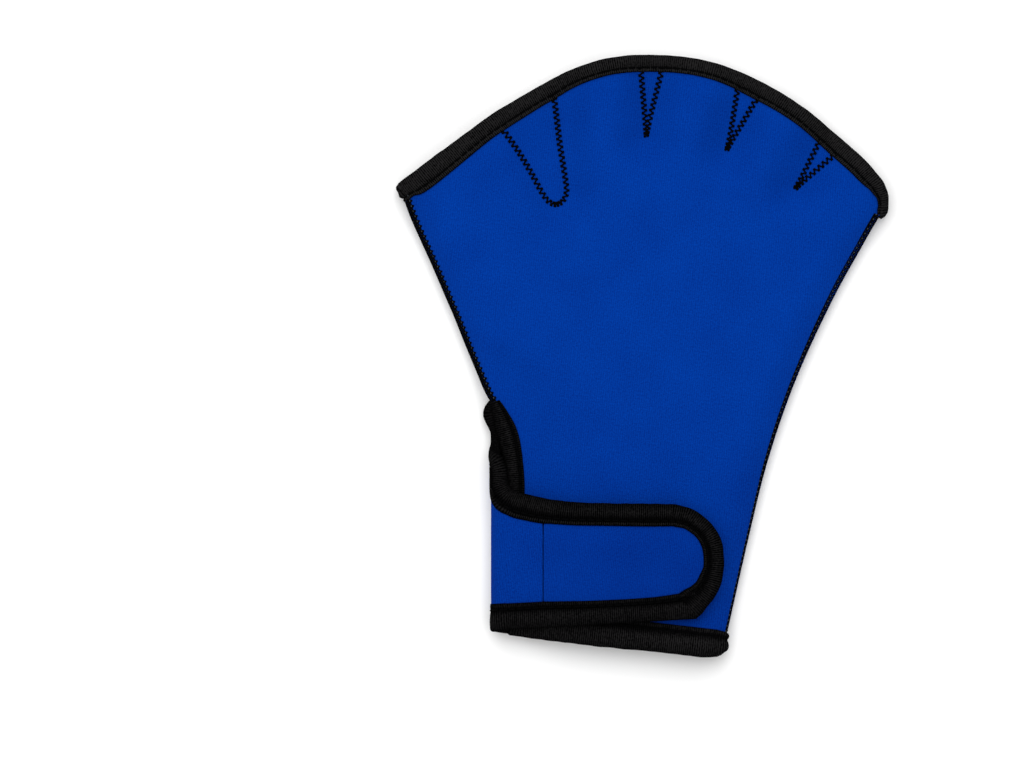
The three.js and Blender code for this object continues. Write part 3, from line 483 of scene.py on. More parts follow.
def clothFrom(name, points, flatPoints, faces):
    # the middle surface gets the cloth's thickness
    obj = makeObject(name, points, faces, flatPoints / 100)
    choose(obj)
    wall = obj.modifiers.new("thickness", "SOLIDIFY")
    wall.thickness = cloth["thickness"] * mm
    wall.offset = 0
    wall.use_even_offset = False
    bpy.ops.object.modifier_apply(modifier=wall.name)
    bpy.ops.object.shade_smooth_by_angle(angle=math.radians(50))
    return obj


def gridFaces(rows, columns):
    j, i = np.meshgrid(np.arange(rows - 1), np.arange(columns - 1), indexing="ij")
    corner = (j * columns + i).ravel()
    return np.stack([corner, corner + 1, corner + columns + 1, corner + columns], -1)


def trimmed(points):
    # draws the panels' lower right corner in, where the hem's tape turns round it
    trim = tape["cornerTrim"] * smooth((tape["cornerReach"] - points[..., 1]) / tape["cornerReach"])
    return points - pairs(trim, 0)


def panelRows(left, shares, columns):
    at = np.linspace(0, 1, columns)
    rows = mix(left[:, None, :], trimmed(rightSeam(shares))[:, None, :], at[None, :, None])
    shares = np.clip(shares, 0, 1)[:, None]
    rows[..., 1] += shares**3 * pattern["fanRise"] * follow(fingerEdge, at)
    # the seam's bow stays near the seam where the row meets the finger edge
    rows[..., 0] -= shares**12 * thumbSeam[-1][1] * ((1 - at) - (1 - at)**12)
    return rows


columnCount = int(pattern["fanWidth"] / cloth["cell"]) + 1
fanRowCount = int((thumbCorner[1] - slitTop[1] + pattern["fanRise"]) / cloth["cell"])
fanShares = np.linspace(slitTop[1] / thumbCorner[1], 1, fanRowCount + 1)[1:]
fanLeft = leftSeam(np.linspace(0, 1, fanRowCount + 1)[1:])


def makeBackPanel():
    left = np.concatenate([evenly(freeEdge, cloth["cell"]), fanLeft])
    lower = len(left) - len(fanLeft)
    shares = (left[:lower, 1] - hemLeft[1] * (1 - np.linspace(0, 1, lower))) / thumbCorner[1]
    flat = panelRows(left, np.concatenate([shares, fanShares]), columnCount).reshape(-1, 2)
    return clothFrom("back_panel_cloth", backPlace(flat), flat, gridFaces(len(left), columnCount))


def makePalmPanel():
    cornerA = float(slitSides[narrow, 1])
    hemStart = float(strapLowerAt(0))
    lowRows = int((cornerA - hemStart) / cloth["cell"])
    lowLeft = patternPoint(baseStart, np.linspace(hemStart, cornerA, lowRows))
    slitLeft = evenly(patternPoint(slitAbove[::-1, 0], slitAbove[::-1, 1]), cloth["cell"])[1:]
    left = np.concatenate([lowLeft, slitLeft, fanLeft])
    lowShares = np.linspace(0, lowLeft[-1, 1] / thumbCorner[1], lowRows)
    shares = np.concatenate([lowShares, slitLeft[:, 1] / thumbCorner[1], fanShares])
    hand = panelRows(left, shares, columnCount).reshape(-1, 2)
    faces = [gridFaces(len(left), columnCount)]
    upperEdge = evenly(slitAndBase[narrow:], cloth["cell"])[1:]
    bs = upperEdge[:, 0] * (buttB - strapCut["seamGap"] / 2) / buttB
    low, high = strapLowerAt(overPlace(bs)), upperEdge[:, 1]
    base = patternPoint(bs[:, None], mix(low[:, None], high[:, None], np.linspace(0, 1, lowRows)))
    strip = np.concatenate([[np.arange(lowRows) * columnCount],
                            len(hand) + np.arange(len(bs) * lowRows).reshape(len(bs), lowRows)])
    cells = [strip[:-1, :-1], strip[:-1, 1:], strip[1:, 1:], strip[1:, :-1]]
    faces.append(np.stack(cells, -1).reshape(-1, 4))
    flatPoints = np.concatenate([hand, base.reshape(-1, 2)])
    return clothFrom("palm_panel_cloth", palmPlace(flatPoints), flatPoints, np.concatenate(faces))


def makeStrap():
    rows = int(strapCut["width"] / cloth["cell"])
    across = np.linspace(0, 1, rows)
    start = strapCut["buttSeam"] + strapCut["seamGap"] / 2
    end = strapCut["roundRowStart"] * strapCut["reach"]
    ps = np.linspace(start, end, int((end - start) / cloth["cell"]))[:, None]
    straight = pairs(ps, mix(strapLowerAt(ps), strapUpperAt(ps), across))
    lengths = lengthsAlong(roundEnd)
    rim = pointsAt(roundEnd, lengths, across * lengths[-1])
    steps = np.linspace(0, 1, strapCut["roundRows"] + 1)[1:, None, None]
    flat = strapPattern(np.concatenate([straight, mix(straight[-1:], rim, steps)])).reshape(-1, 2)
    faces = gridFaces(len(flat) // rows, rows)[:, ::-1]
    return clothFrom("closure_strap_cloth", palmPlace(flat), flat, faces)


# Tapes. A station has places and normals of the cloth's middle at a few shares of the way from its edge to
# the tape's lip.
laneShares = np.linspace(0, 1, 7)


def stations(path, inwardSide, width, place, facing, bulge, paintedTone):
    tangent = unit(np.gradient(path, axis=0))
    inward = inwardSide * leftOf(tangent)
    lanes = path[:, None] + inward[:, None] * (laneShares * np.asarray(width)[:, None])[..., None]
    small = 0.25
    sideStep, inStep = tangent[:, None] * small, inward[:, None] * small
    inset = lanes + inStep * np.where(laneShares < 0.01, 1, 0)[:, None]
    side = place(inset + sideStep) - place(inset - sideStep)
    out = place(inset + inStep) - place(inset - inStep)
    every = np.ones(len(path))
    return {"lanes": place(lanes), "normals": unit(np.cross(side, out)) * inwardSide * facing,
            "bulge": bulge * every, "over": 0 * every, "squash": every, "paintedTone": paintedTone * every}


def joined(*parts):
    return {key: np.concatenate([part[key] for part in parts]) for key in parts[0]}


def reversedStations(part):
    return {key: value[::-1] for key, value in part.items()}


def hairpin(fromPart, toPart, sideways, drawn, far=1.0):
    # carries a tape round a corner from one panel's edge to the other's, its own edge drawn in
    angle = np.radians(np.linspace(0, 180, 11))[1:-1]
    share = (1 - np.cos(angle)) / 2
    sideways = np.array([*sideways, 0])
    normal = np.stack([0 * angle, 0 * angle, np.cos(angle)], -1) - np.sin(angle)[:, None] * sideways
    first, last = fromPart["lanes"][-1], toPart["lanes"][0]
    half = np.linalg.norm(last - first, axis=1) / 2
    reach = np.sin(angle)[:, None] * half + tape["turnClearance"] * smooth(np.sin(angle) * 1.6)[:, None]
    lanes = mix(first, last, share[:, None, None]) + far * reach[..., None] * sideways
    pulled = drawn * np.sin(angle)[:, None]**2 * (1 - laneShares)[None, :]
    lanes = mix(lanes, lanes[:, -1:], pulled[..., None])
    return {"lanes": lanes, "normals": np.repeat(normal[:, None], len(laneShares), axis=1), "over": 0 * angle,
            "squash": 0 * angle + 1, "bulge": mix(fromPart["bulge"][-1], toPart["bulge"][0], share),
            "paintedTone": mix(fromPart["paintedTone"][-1], toPart["paintedTone"][0], share)}


slot = halfCloth + tape["clearance"]
# how far towards the lip, height over the middle of the cloth, distance beyond the edge
tapeSection = [
    (1, slot, 0), (1.0, slot + 0.25, 0), (0.965, lipTop - 0.06, 0), (0.9, lipTop, 0),
    (0.84, lipTop - 0.12, 0), (0.78, slot + 0.12, 0), (0.72, slot + 0.04, 0), (0.66, slot + 0.1, 0),
    (0.6, slot + 0.4, 0), (0.5, rollHeight - 0.2, 0), (0.38, rollHeight, 0), (0.24, rollHeight + 0.04, 0),
    (0.1, rollHeight - 0.05, 0),
    (0, 0.9 * rollHeight, 0.2), (0, 0.72 * rollHeight, 0.72), (0, 0.48 * rollHeight, 1.16),
    (0, 0.18 * rollHeight, 1.45),
]
tapeSection += [(toLip, -height, beyond) for toLip, height, beyond in reversed(tapeSection)]
tapeSection += [(0, -slot, tape["clearance"]), (0, slot, tape["clearance"])]


# painted light and shade at each place of the tape's section, from the lip over the groove and the roll to
# the edge: a dark line along the lip's edge as a painted shadow, a painted highlight just inside the lip,
# painted shade in the groove of the strap's and the wrist's tapes, a lit roll and painted shade towards the
# roll's outer edge
fingerLightAndShade = [0.15, 0.15, 0.25, 0.75, 1.35, 1.25, 1.0, 0.9, 0.8, 0.9, 1.0, 1.05, 1.0, 0.95, 0.85, 0.7, 0.5]
strapTapeLightAndShade = [0.15, 0.15, 0.3, 0.9, 1.35, 0.5, 0.22, 0.2, 0.25, 0.4, 0.9, 1.2, 1.1, 0.9, 0.75, 0.6, 0.45]
wristLightAndShade = [0.15, 0.3, 0.7, 0.9, 0.6, 0.25, 0.3, 0.4, 0.65, 1.15, 1.2, 1.05, 0.95, 0.85, 0.75, 0.6, 0.45]


def laneAt(values, toLip):
    at = toLip * (len(laneShares) - 1)
    low = min(int(at), len(laneShares) - 2)
    return mix(values[:, low], values[:, low + 1], at - low)


def tapePlace(part, toLip, height, beyond=0.0, closed=False):
    edge = part["lanes"][:, 0]
    if closed:
        tangent = np.roll(edge, -1, axis=0) - np.roll(edge, 1, axis=0)
    else:
        tangent = np.gradient(edge, axis=0)
    normal = unit(laneAt(part["normals"], toLip))
    out = unit(np.cross(tangent, part["normals"][:, 0]))
    out *= np.sign(np.sum(out * (edge - part["lanes"][:, 1]), axis=1))[:, None]
    height = np.broadcast_to(height, len(edge))
    height = (height + (part["squash"] - 1) * np.sign(height) * np.maximum(abs(height) - slot, 0))[:, None]
    if np.max(beyond) > tape["clearance"]:
        beyond = beyond * part["bulge"] + part["over"]
    beyond = np.broadcast_to(beyond, len(edge))[:, None]
    return laneAt(part["lanes"], toLip) + normal * height + out * beyond


def tapeLengths(part):
    return lengthsAlong(laneAt(part["lanes"], 0.3))


def makeTape(name, part, sectionLightAndShade, closed=False):
    lengths = tapeLengths(part)
    # two uneven waves along the tape
    puff = (np.sin(lengths / 1.17 + 1.9 * np.sin(lengths / 7.3))
            + np.sin(lengths / 2.9 + 2.2 * np.sin(lengths / 11.0)))
    puff = tape["ripple"] * (puff / 2 - 0.55)
    rings = []
    for toLip, height, beyond in tapeSection:
        soft = 1 if toLip < 0.6 and beyond != tape["clearance"] else 0.25
        soft = 0 if abs(abs(height) - slot) < 1e-6 else soft
        lift = soft * puff * min(abs(height) / 1.6, 1) + part["over"]
        rings.append(tapePlace(part, toLip, height + np.sign(height) * lift,
                               beyond + (soft * puff if beyond > 0.3 else 0), closed))
    rings = np.stack(rings, 1)
    count, size = rings.shape[:2]
    around = np.arange(size)
    faces = []
    for i in range(count if closed else count - 1):
        a, b = i * size, (i + 1) % count * size
        faces += [[a + k, b + k, b + (k + 1) % size, a + (k + 1) % size] for k in around]
    if not closed:
        faces += [list(around[::-1]), list((count - 1) * size + around)]
    uvs = np.stack(np.broadcast_arrays(lengths[:, None] / 100, around[None, :] / size), -1)
    obj = makeObject(name, rings.reshape(-1, 3), faces, uvs)
    # the roll attribute holds the section's painted light and shade, times the tape's painted tone
    roll = obj.data.attributes.new("roll", "FLOAT", "POINT")
    roll.data.foreach_set("value", np.outer(part["paintedTone"], [*sectionLightAndShade, *sectionLightAndShade[::-1], 0.2, 0.2]).ravel())
    choose(obj)
    bpy.ops.object.mode_set(mode="EDIT")
    bpy.ops.mesh.select_all(action="SELECT")
    bpy.ops.mesh.remove_doubles(threshold=2e-6)
    bpy.ops.mesh.normals_make_consistent(inside=False)
    bpy.ops.object.mode_set(mode="OBJECT")
    bpy.ops.object.shade_smooth_by_angle(angle=math.radians(55))
    return obj


# Stitches. One stitch is modelled and copied along every row.
stitch = {
    "middle": 0.2,            # half the length of the part that keeps its thickness
    "tip": 0.47,
    "push": 0.07,
    "swell": 1.18,
    "tuck": 0.6,              # length added for its ends, as a share of its thickness
}


def pick(obj, elements, wanted):
    # selects some vertices or faces of a mesh, which stays in edit mode
    bpy.ops.object.mode_set(mode="EDIT")
    bpy.ops.mesh.select_all(action="DESELECT")
    bpy.ops.object.mode_set(mode="OBJECT")
    for element in getattr(obj.data, elements):
        element.select = wanted(element)
    bpy.ops.object.mode_set(mode="EDIT")


def makeStitchModel():
    bpy.ops.object.select_all(action="DESELECT")
    bpy.ops.mesh.primitive_uv_sphere_add(segments=6, ring_count=6, radius=0.5, rotation=(0, math.pi / 2, 0))
    obj = bpy.context.object
    bpy.ops.object.transform_apply(location=True, rotation=True, scale=True)
    for half in (-1, 1):                             # the middle ring stays, the ends get blunter
        pick(obj, "vertices", lambda vertex: stitch["middle"] < half * vertex.co.x < stitch["tip"])
        bpy.ops.transform.translate(value=(stitch["push"] * half, 0, 0))
        bpy.ops.transform.resize(value=(1, stitch["swell"], stitch["swell"]), center_override=(0, 0, 0))
        bpy.ops.object.mode_set(mode="OBJECT")
    points = np.array([vertex.co[:] for vertex in obj.data.vertices])
    faces = [list(polygon.vertices) for polygon in obj.data.polygons]
    bpy.data.objects.remove(obj)
    return points, faces


stitchPoints, stitchFaces = makeStitchModel()


def sew(name, starts, ends, thickness, up=(0.0, 0.0, 1.0)):
    # one object with a stitch from each start to its end
    lengths = np.linalg.norm(ends - starts, axis=1)
    direction = (ends - starts) / lengths[:, None]
    side = unit(np.cross(np.broadcast_to(up, starts.shape), direction))
    axes = np.stack([direction, side, np.cross(direction, side)], 1)
    thickness = np.broadcast_to(thickness, len(starts))
    sizes = np.stack([lengths + thickness * stitch["tuck"], thickness, thickness], -1)
    points = (starts + ends)[:, None] / 2 + (stitchPoints * sizes[:, None]) @ axes
    count = len(stitchPoints)
    faces = [[k * count + v for v in face] for k in range(len(starts)) for face in stitchFaces]
    obj = makeObject(name, points, faces)
    choose(obj)
    bpy.ops.object.shade_smooth()
    return obj


def tapeStitches(part, share):
    # straight stitches in the groove, a share of the way to the lip, on both sides of the tape
    lengths = tapeLengths(part)
    pitch = tape["stitchLength"] + tape["stitchGap"]
    begin = np.arange(int(lengths[-1] / pitch)) * pitch + tape["stitchGap"] / 2
    lines = [tapePlace(part, share, side * (slot + tape["stitchLift"])) for side in (1, -1)]
    return [np.concatenate([pointsAt(line, lengths, where) for line in lines])
            for where in (begin, begin + tape["stitchLength"])]


# Finishes

class Field:
    # a value in a material, on which arithmetic adds Math nodes
    def __init__(self, finish, socket):
        self.finish = finish
        self.socket = socket

    def math(self, operation, a, b):
        return self.finish.node("ShaderNodeMath", {"operation": operation}, {0: a, 1: b})

    def __add__(self, other):
        return self.math("ADD", self, other)

    def __radd__(self, other):
        return self.math("ADD", other, self)

    def __sub__(self, other):
        return self.math("SUBTRACT", self, other)

    def __rsub__(self, other):
        return self.math("SUBTRACT", other, self)

    def __mul__(self, other):
        return self.math("MULTIPLY", self, other)

    def __rmul__(self, other):
        return self.math("MULTIPLY", other, self)


class Finish:
    def __init__(self, name, **shaderValues):
        self.material = bpy.data.materials.new(name)
        self.material.use_nodes = True
        self.tree = self.material.node_tree
        self.shader = self.tree.nodes["Principled BSDF"]
        self.feed(**shaderValues)

    def node(self, kind, settings=None, inputs=None, output=0):
        made = self.tree.nodes.new(kind)
        for key, value in (settings or {}).items():
            setattr(made, key, value)
        for key, value in (inputs or {}).items():
            self.plug(value, made.inputs[key])
        return Field(self, made.outputs[output])

    def plug(self, value, socket):
        if isinstance(value, Field):
            self.tree.links.new(value.socket, socket)
        else:
            socket.default_value = value

    def feed(self, **links):
        for socket, value in links.items():
            self.plug(value, self.shader.inputs[socket.replace("_", " ")])

    def uv(self):
        return self.node("ShaderNodeUVMap", {"uv_map": "pattern"})

    def part(self, vector, axis):
        return self.node("ShaderNodeSeparateXYZ", None, {"Vector": vector}, axis)

    def solidPlace(self):
        return self.node("ShaderNodeTexCoord", output="Object")

    def noise(self, place, scale, detail=2.0, roughness=0.5):
        return self.node("ShaderNodeTexNoise", None,
                         {"Vector": place, "Scale": scale, "Detail": detail, "Roughness": roughness})

    def wave(self, place, direction, scale, distortion):
        return self.node("ShaderNodeTexWave", {"wave_type": "BANDS", "bands_direction": direction},
                         {"Vector": place, "Scale": scale, "Distortion": distortion, "Detail": 1.0})

    def colour(self, factor, first, second):
        return self.node("ShaderNodeMix", {"data_type": "RGBA"},
                         {0: factor, 6: (*first, 1), 7: (*second, 1)}, 2)

    def bump(self, height, strength, distance):
        return self.node("ShaderNodeBump", None,
                         {"Height": height, "Strength": strength, "Distance": distance})


jersey = {
    "dark": (0.0, 0.0126, 0.1490),
    "light": (0.0, 0.0475, 0.3590),
    # the strap's colours: a darker copy of the blue cloth's, painted shade
    "strapShadedDark": (0.0, 0.0118, 0.1400),
    "strapShadedLight": (0.0001, 0.0400, 0.3190),
    "walesPerMm": 1.25,
    "coursesPerMm": 1.3,
    # painted shade towards the hem, and on the strap towards its end
    "paintedShade": 0.06,
    "unevenness": 0.12,
    "darkest": 0.38,          # sums of the noises where the dark and the light colour are reached
    "lightest": 0.78,
    "roughness": 0.92,
}
wavePeriod = 3.18             # the wave texture's scale that gives one band per unit


def jerseyFinish(name, dark, light, axis, begin, end):
    # painted shade: the cloth is painted a little darker from begin to end, places along one axis of its
    # pattern
    finish = Finish(name, Specular_IOR_Level=0.02)
    place = finish.uv()                              # 1 is 100 mm of cloth
    wales = finish.wave(place, "X", jersey["walesPerMm"] * 100 / wavePeriod, 1.2)
    courses = finish.wave(place, "Y", jersey["coursesPerMm"] * 125 / wavePeriod, 1.6)
    fuzz = finish.noise(place, 140, 4, 0.6)
    grain = finish.noise(place, 420)
    slow = finish.noise(place, 5.5, 3)
    shadedShare = finish.node("ShaderNodeMapRange", None, {0: finish.part(place, axis), 1: begin, 2: end})
    shade = (fuzz * 0.45 + grain * 0.5 + slow * jersey["unevenness"] + wales * 0.08
             - shadedShare * jersey["paintedShade"])
    ramp = finish.node("ShaderNodeMapRange", None, {0: shade, 1: jersey["darkest"], 2: jersey["lightest"]})
    height = wales * 0.35 + courses * 0.35 + grain * 0.5 + fuzz * 0.6
    finish.feed(Base_Color=finish.colour(ramp, dark, light), Roughness=jersey["roughness"] - 0.08 * grain,
                Normal=finish.bump(height, 0.35, 0.00018))
    return finish.material


tapeLook = {
    "dark": (0.0002, 0.0002, 0.0003),
    "light": (0.0135, 0.0130, 0.0134),
    "ribPitch": 0.78,
    "roughness": 0.62,
}


def tapeFinish():
    finish = Finish("ribbed_tape", Specular_IOR_Level=0.0)
    ribs = finish.wave(finish.uv(), "X", 100 / tapeLook["ribPitch"] / wavePeriod, 0.8)
    solid = finish.solidPlace()
    fuzz = finish.noise(solid, 1400, 3, 0.6)
    slow = finish.noise(solid, 120)
    # painted light and shade across the tape's section, read from the roll attribute
    paintedLight = finish.node("ShaderNodeAttribute", {"attribute_name": "roll"}, output=2)
    shade = (ribs * 1.05 + fuzz * 2.6 + slow * 0.5 - 1.61) * paintedLight
    finish.feed(Base_Color=finish.colour(shade, tapeLook["dark"], tapeLook["light"]),
                Roughness=tapeLook["roughness"] + 0.2 * fuzz,
                Normal=finish.bump(ribs * 0.8 + fuzz * 0.6, 0.5, 0.0002))
    return finish.material


def threadFinish(name, dark, light):
    finish = Finish(name, Specular_IOR_Level=0.01)
    solid = finish.solidPlace()
    ply = finish.wave(solid, "DIAGONAL", 700, 1.0)
    fuzz = finish.noise(solid, 2500)
    finish.feed(Base_Color=finish.colour(ply * 0.6 + fuzz * 0.4, dark, light), Roughness=0.5 + 0.3 * fuzz,
                Normal=finish.bump(ply, 0.4, 0.0001))
    return finish.material


def hookFinish():
    finish = Finish("hook_tape", Specular_IOR_Level=0.3)
    fuzz = finish.noise(finish.solidPlace(), 1200, 3)
    finish.feed(Base_Color=finish.colour(fuzz, (0.003, 0.003, 0.0035), (0.010, 0.010, 0.011)),
                Roughness=0.5 + 0.3 * fuzz, Normal=finish.bump(fuzz, 0.3, 0.0001))
    return finish.material


def floorFinish():
    finish = Finish("pale_floor", Specular_IOR_Level=0.1)
    cloud = finish.noise(finish.solidPlace(), 3)
    finish.feed(Base_Color=finish.colour(cloud, (0.93, 0.93, 0.93), (0.95, 0.95, 0.95)),
                Roughness=0.8 + 0.1 * cloud)
    return finish.material


# the blue cloth gets painted shade towards the hem
blueJersey = jerseyFinish("blue_jersey", jersey["dark"], jersey["light"], 1, 1.0, 0.25)
# the strap: a shaded copy of the blue cloth, with more painted shade towards its end
shadedStrapJersey = jerseyFinish("strap_jersey", jersey["strapShadedDark"], jersey["strapShadedLight"], 0, -0.55, -1.05)
blackTape = tapeFinish()
blackThread = threadFinish("black_thread", (0.0003, 0.0003, 0.0004), (0.002, 0.002, 0.0023))
# pale knots: a painted highlight on the overlock thread
highlightThread = threadFinish("thread_highlight", (0.02, 0.024, 0.03), (0.06, 0.07, 0.08))
hookTape = hookFinish()
print("finishes ready")


def finished(obj, material, slotName, *nodes):
    obj.data.materials.clear()
    obj.data.materials.append(material)
    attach(obj, "root")
    if nodes:
        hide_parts(*nodes)
    return obj


backPanel = finished(makeBackPanel(), blueJersey, "blue_jersey", "back_panel")
palmPanel = finished(makePalmPanel(), blueJersey, "blue_jersey", "palm_panel")
strapPanel = finished(makeStrap(), shadedStrapJersey, "strap_jersey", "closure_strap")
print("cloth ready")

# Tape of the finger edge: along the palm, round the corner, back along the back panel and round again
fingerPath = evenly(edgePoint(np.linspace(0, 1, 400)), tape["step"])
fingerAcross = (fingerPath[:, 0] - thumbCorner[0]) / pattern["fanWidth"]
fingerWidth = tape["width"] * follow(fingerTape, fingerAcross)
fromThumb = np.arange(len(fingerPath)) * tape["step"]
fingerBulge = (tape["fingerBulge"] + tape["thumbSwell"] * smooth((38 - fromThumb) / 34)
               + tape["littleSwell"] * smooth((12 - fromThumb[::-1]) / 8))
palmFinger = stations(fingerPath, -1, fingerWidth, palmPlace, 1, fingerBulge, tape["fingerPaintedTone"])
backFinger = stations(fingerPath, -1, fingerWidth, backPlace, -1, fingerBulge, tape["fingerPaintedTone"])
backFinger = reversedStations(backFinger)


def endDirection(part, begin, end, degrees=0.0):
    # the way a tape leads at its end, seen from above, turned a little
    x, y = unit((part["lanes"][end, 0] - part["lanes"][begin, 0])[:2])
    angle = math.radians(degrees)
    return np.array([x * math.cos(angle) - y * math.sin(angle), x * math.sin(angle) + y * math.cos(angle)])


littleTurn = hairpin(palmFinger, backFinger, endDirection(palmFinger, -3, -1), tape["drawn"])
thumbTurn = hairpin(reversedStations(palmFinger), reversedStations(backFinger),
                    endDirection(palmFinger, 2, 0, tape["thumbAngle"]), tape["thumbDrawn"], tape["thumbFar"])
fingerLoop = joined(palmFinger, littleTurn, backFinger, reversedStations(thumbTurn))


def alongStrap(path):
    # how far along the strap a path's points lie
    return overPlace(foldStart - (path - foldOrigin) @ along)


# Tape of the slit and the strap's upper edge
overlapPlace = np.array(tape["overlapPlace"]) * [strapCut["reach"], strapCut["width"]]
roundOverlap = int(np.argmin(np.linalg.norm(roundEnd - overlapPlace, axis=1)))
upperPs = np.linspace(strapCut["buttSeam"], tape["upperEnd"] * strapCut["reach"], 40)
slitPath = np.concatenate([slitLine, strapPattern(pairs(upperPs, strapUpperAt(upperPs)))[1:],
                           strapPattern(roundEnd[roundOverlap:][::-1])])
slitPath = evenly(slitPath, tape["step"])
slitOver = alongStrap(slitPath)
slitWidth = tape["width"] + np.where((slitPath - foldOrigin) @ upward > 0, follow(strapTapeAbove, slitOver),
                                     follow(strapTapeBelow, slitOver))
fromTop = np.arange(len(slitPath)) * tape["step"]
slitBulge = (1 + tape["slitSwell"] * smooth(fromTop / 3) * smooth((10 - fromTop) / 5)
             + tape["strapBulge"] * smooth((fromTop - 42) / 10))
slitTape = stations(slitPath, 1, slitWidth, palmPlace, 1, slitBulge, tape["strapPaintedTone"])
slitTape["over"] = tape["overlapRise"] * smooth((fromTop - fromTop[-1] + tape["overlap"] + 1) / 1.5)

# Tape of the wrist: the strap's lower edge, the palm's hem, round the side seam, the back's hem and free edge
lowerPs = np.linspace(tape["lowerStart"], strapCut["buttSeam"], 50)
baseBs = np.linspace(buttB, baseStart, 30)[1:]
hemPath = np.concatenate([strapPattern(pairs(lowerPs, strapLowerAt(lowerPs))),
                          patternPoint(baseBs, strapLowerAt(overPlace(baseBs))), [trimmed(hemRight)]])
hemPath = evenly(hemPath, tape["step"])
hemOver = alongStrap(hemPath)
hemWidth = tape["width"] + follow(strapTapeBelow, hemOver) * smooth((hemOver + 12) / 12)
fromEnd = np.arange(len(hemPath))[::-1] * tape["step"]
onStrap = smooth((hemOver + 4) / 8)
lowerBulge = mix(1, tape["lowerBulge"], onStrap) * mix(tape["lowerEndBulge"], 1, smooth(fromEnd / 3))
# painted shade: the wrist tape is painted darker where it runs along the strap
hemPaintedTone = mix(tape["hemPaintedTone"], tape["strapPaintedTone"], onStrap)
hemTape = stations(hemPath, 1, hemWidth, palmPlace, 1, lowerBulge, hemPaintedTone)
offFold = np.maximum(smooth((hemOver - 1) / 9), smooth((-14 - hemOver) / 6))
hemTape["squash"] = mix(tape["foldSquash"], 1, offFold)
backHemPath = evenly([trimmed(hemRight), hemLeft + [0.5, 0]], tape["step"])
fromRight = np.linspace(0, 1, len(backHemPath))
backHemTape = stations(backHemPath, -1, np.full(len(backHemPath), tape["backHemWidth"]), backPlace, -1,
                       follow(hemBulge, fromRight), tape["hemPaintedTone"])
freePath = evenly(freeEdge, tape["step"])
freeWidth = follow(slitTaper, np.arange(len(freePath))[::-1] * tape["step"])
freeTape = stations(freePath, -1, freeWidth, backPlace, -1, 1.0, tape["strapPaintedTone"])
hemTurns, freeTurns = int(slitTaper[-1][1] / tape["step"]), int(tape["backHemWidth"] / tape["step"])
innerCorner = backHemTape["lanes"][-hemTurns - 1, -1].copy()
for part, corner in ((backHemTape, slice(-hemTurns, None)), (freeTape, slice(0, freeTurns))):
    edges = part["lanes"][corner, :1]                # the mitred corner, where both lips meet
    part["lanes"][corner] = mix(edges, innerCorner, laneShares[None, :, None])
wristTurn = hairpin(hemTape, backHemTape, endDirection(hemTape, -3, -1), tape["hemDrawn"])
wristTape = joined(hemTape, wristTurn, backHemTape, freeTape)

for name, part, sectionLightAndShade in (("finger", fingerLoop, fingerLightAndShade), ("strap", slitTape, strapTapeLightAndShade),
                           ("wrist", wristTape, wristLightAndShade)):
    binding = makeTape(name + "_binding_tape", part, sectionLightAndShade, part is fingerLoop)
    finished(binding, blackTape, "binding_tape", name + "_binding")
print("tapes ready")

for name, part in (("finger", joined(palmFinger, littleTurn)), ("finger_back", backFinger),
                   ("strap", slitTape), ("wrist", hemTape), ("wrist_back", backHemTape),
                   ("slit_back", freeTape)):
    starts, ends = tapeStitches(part, stitchShares[name])
    finished(sew(name + "_tape_stitches", starts, ends, tape["stitchThickness"]), blackThread, "binding_tape")

zigzag = {
    "width": 1.6,
    "pitch": 1.02,            # length of row for one stitch, two of which make a zigzag
    "tipPitch": 0.6,
    "tipReach": 5.0,
    "thickness": 0.62,
    "knot": 0.86,
    "knotReach": 0.258,       # half of a knot's length along the row
    "backLift": 0.2,
    "palmSunk": 0.45,         # depth in the palm's lower face, which keeps it off the floor
}


def onSurface(place, points, lift):
    # places on a panel's surface, a lift above or below the middle of its cloth
    small = 0.3
    acrossStep = place(points + [small, 0]) - place(points - [small, 0])
    upStep = place(points + [0, small]) - place(points - [0, small])
    return place(points) + unit(np.cross(acrossStep, upStep)) * lift


def zigzagRow(line, tips):
    # needle holes on either side of the row, closer together near a tip
    fine = 0.1
    line = evenly(line, fine)
    at = [2 * fine]
    while at[-1] < (len(line) - 4) * fine:
        near = min(np.linalg.norm(line[int(round(at[-1] / fine))] - tip) for tip in tips)
        at.append(at[-1] + mix(zigzag["tipPitch"], zigzag["pitch"], float(smooth(near / zigzag["tipReach"]))))
    index = np.clip(np.round(np.array(at) / fine).astype(int), 1, len(line) - 2)
    sign = np.where(np.arange(len(index)) % 2 == 0, 1, -1)[:, None]
    return line[index] + sign * zigzag["width"] / 2 * leftOf(unit(line[index + 1] - line[index - 1]))


dartTipPoints = [np.array(darts[name][k])
                 for name, k in (("thumb", 5), ("index", 2), ("middle", 2), ("ring", 2))]
starts, ends, widths = [], [], []
for line in dartLines.values():
    holes = zigzagRow(line, dartTipPoints)
    for place, lift in ((backPlace, halfCloth + zigzag["backLift"]),
                        (palmPlace, zigzag["palmSunk"] - halfCloth)):
        spots = onSurface(place, holes, lift)
        rowStep = np.repeat(unit(np.gradient(spots[::2], axis=0)), 2, axis=0)[:len(spots)]
        rowStep *= zigzag["knotReach"]
        starts += [spots[:-1], spots - rowStep]
        ends += [spots[1:], spots + rowStep]
        widths += [np.full(len(spots) - 1, zigzag["thickness"]), np.full(len(spots), zigzag["knot"])]
dartStitches = sew("dart_stitches", np.concatenate(starts), np.concatenate(ends), np.concatenate(widths))
finished(dartStitches, blackThread, "binding_tape")

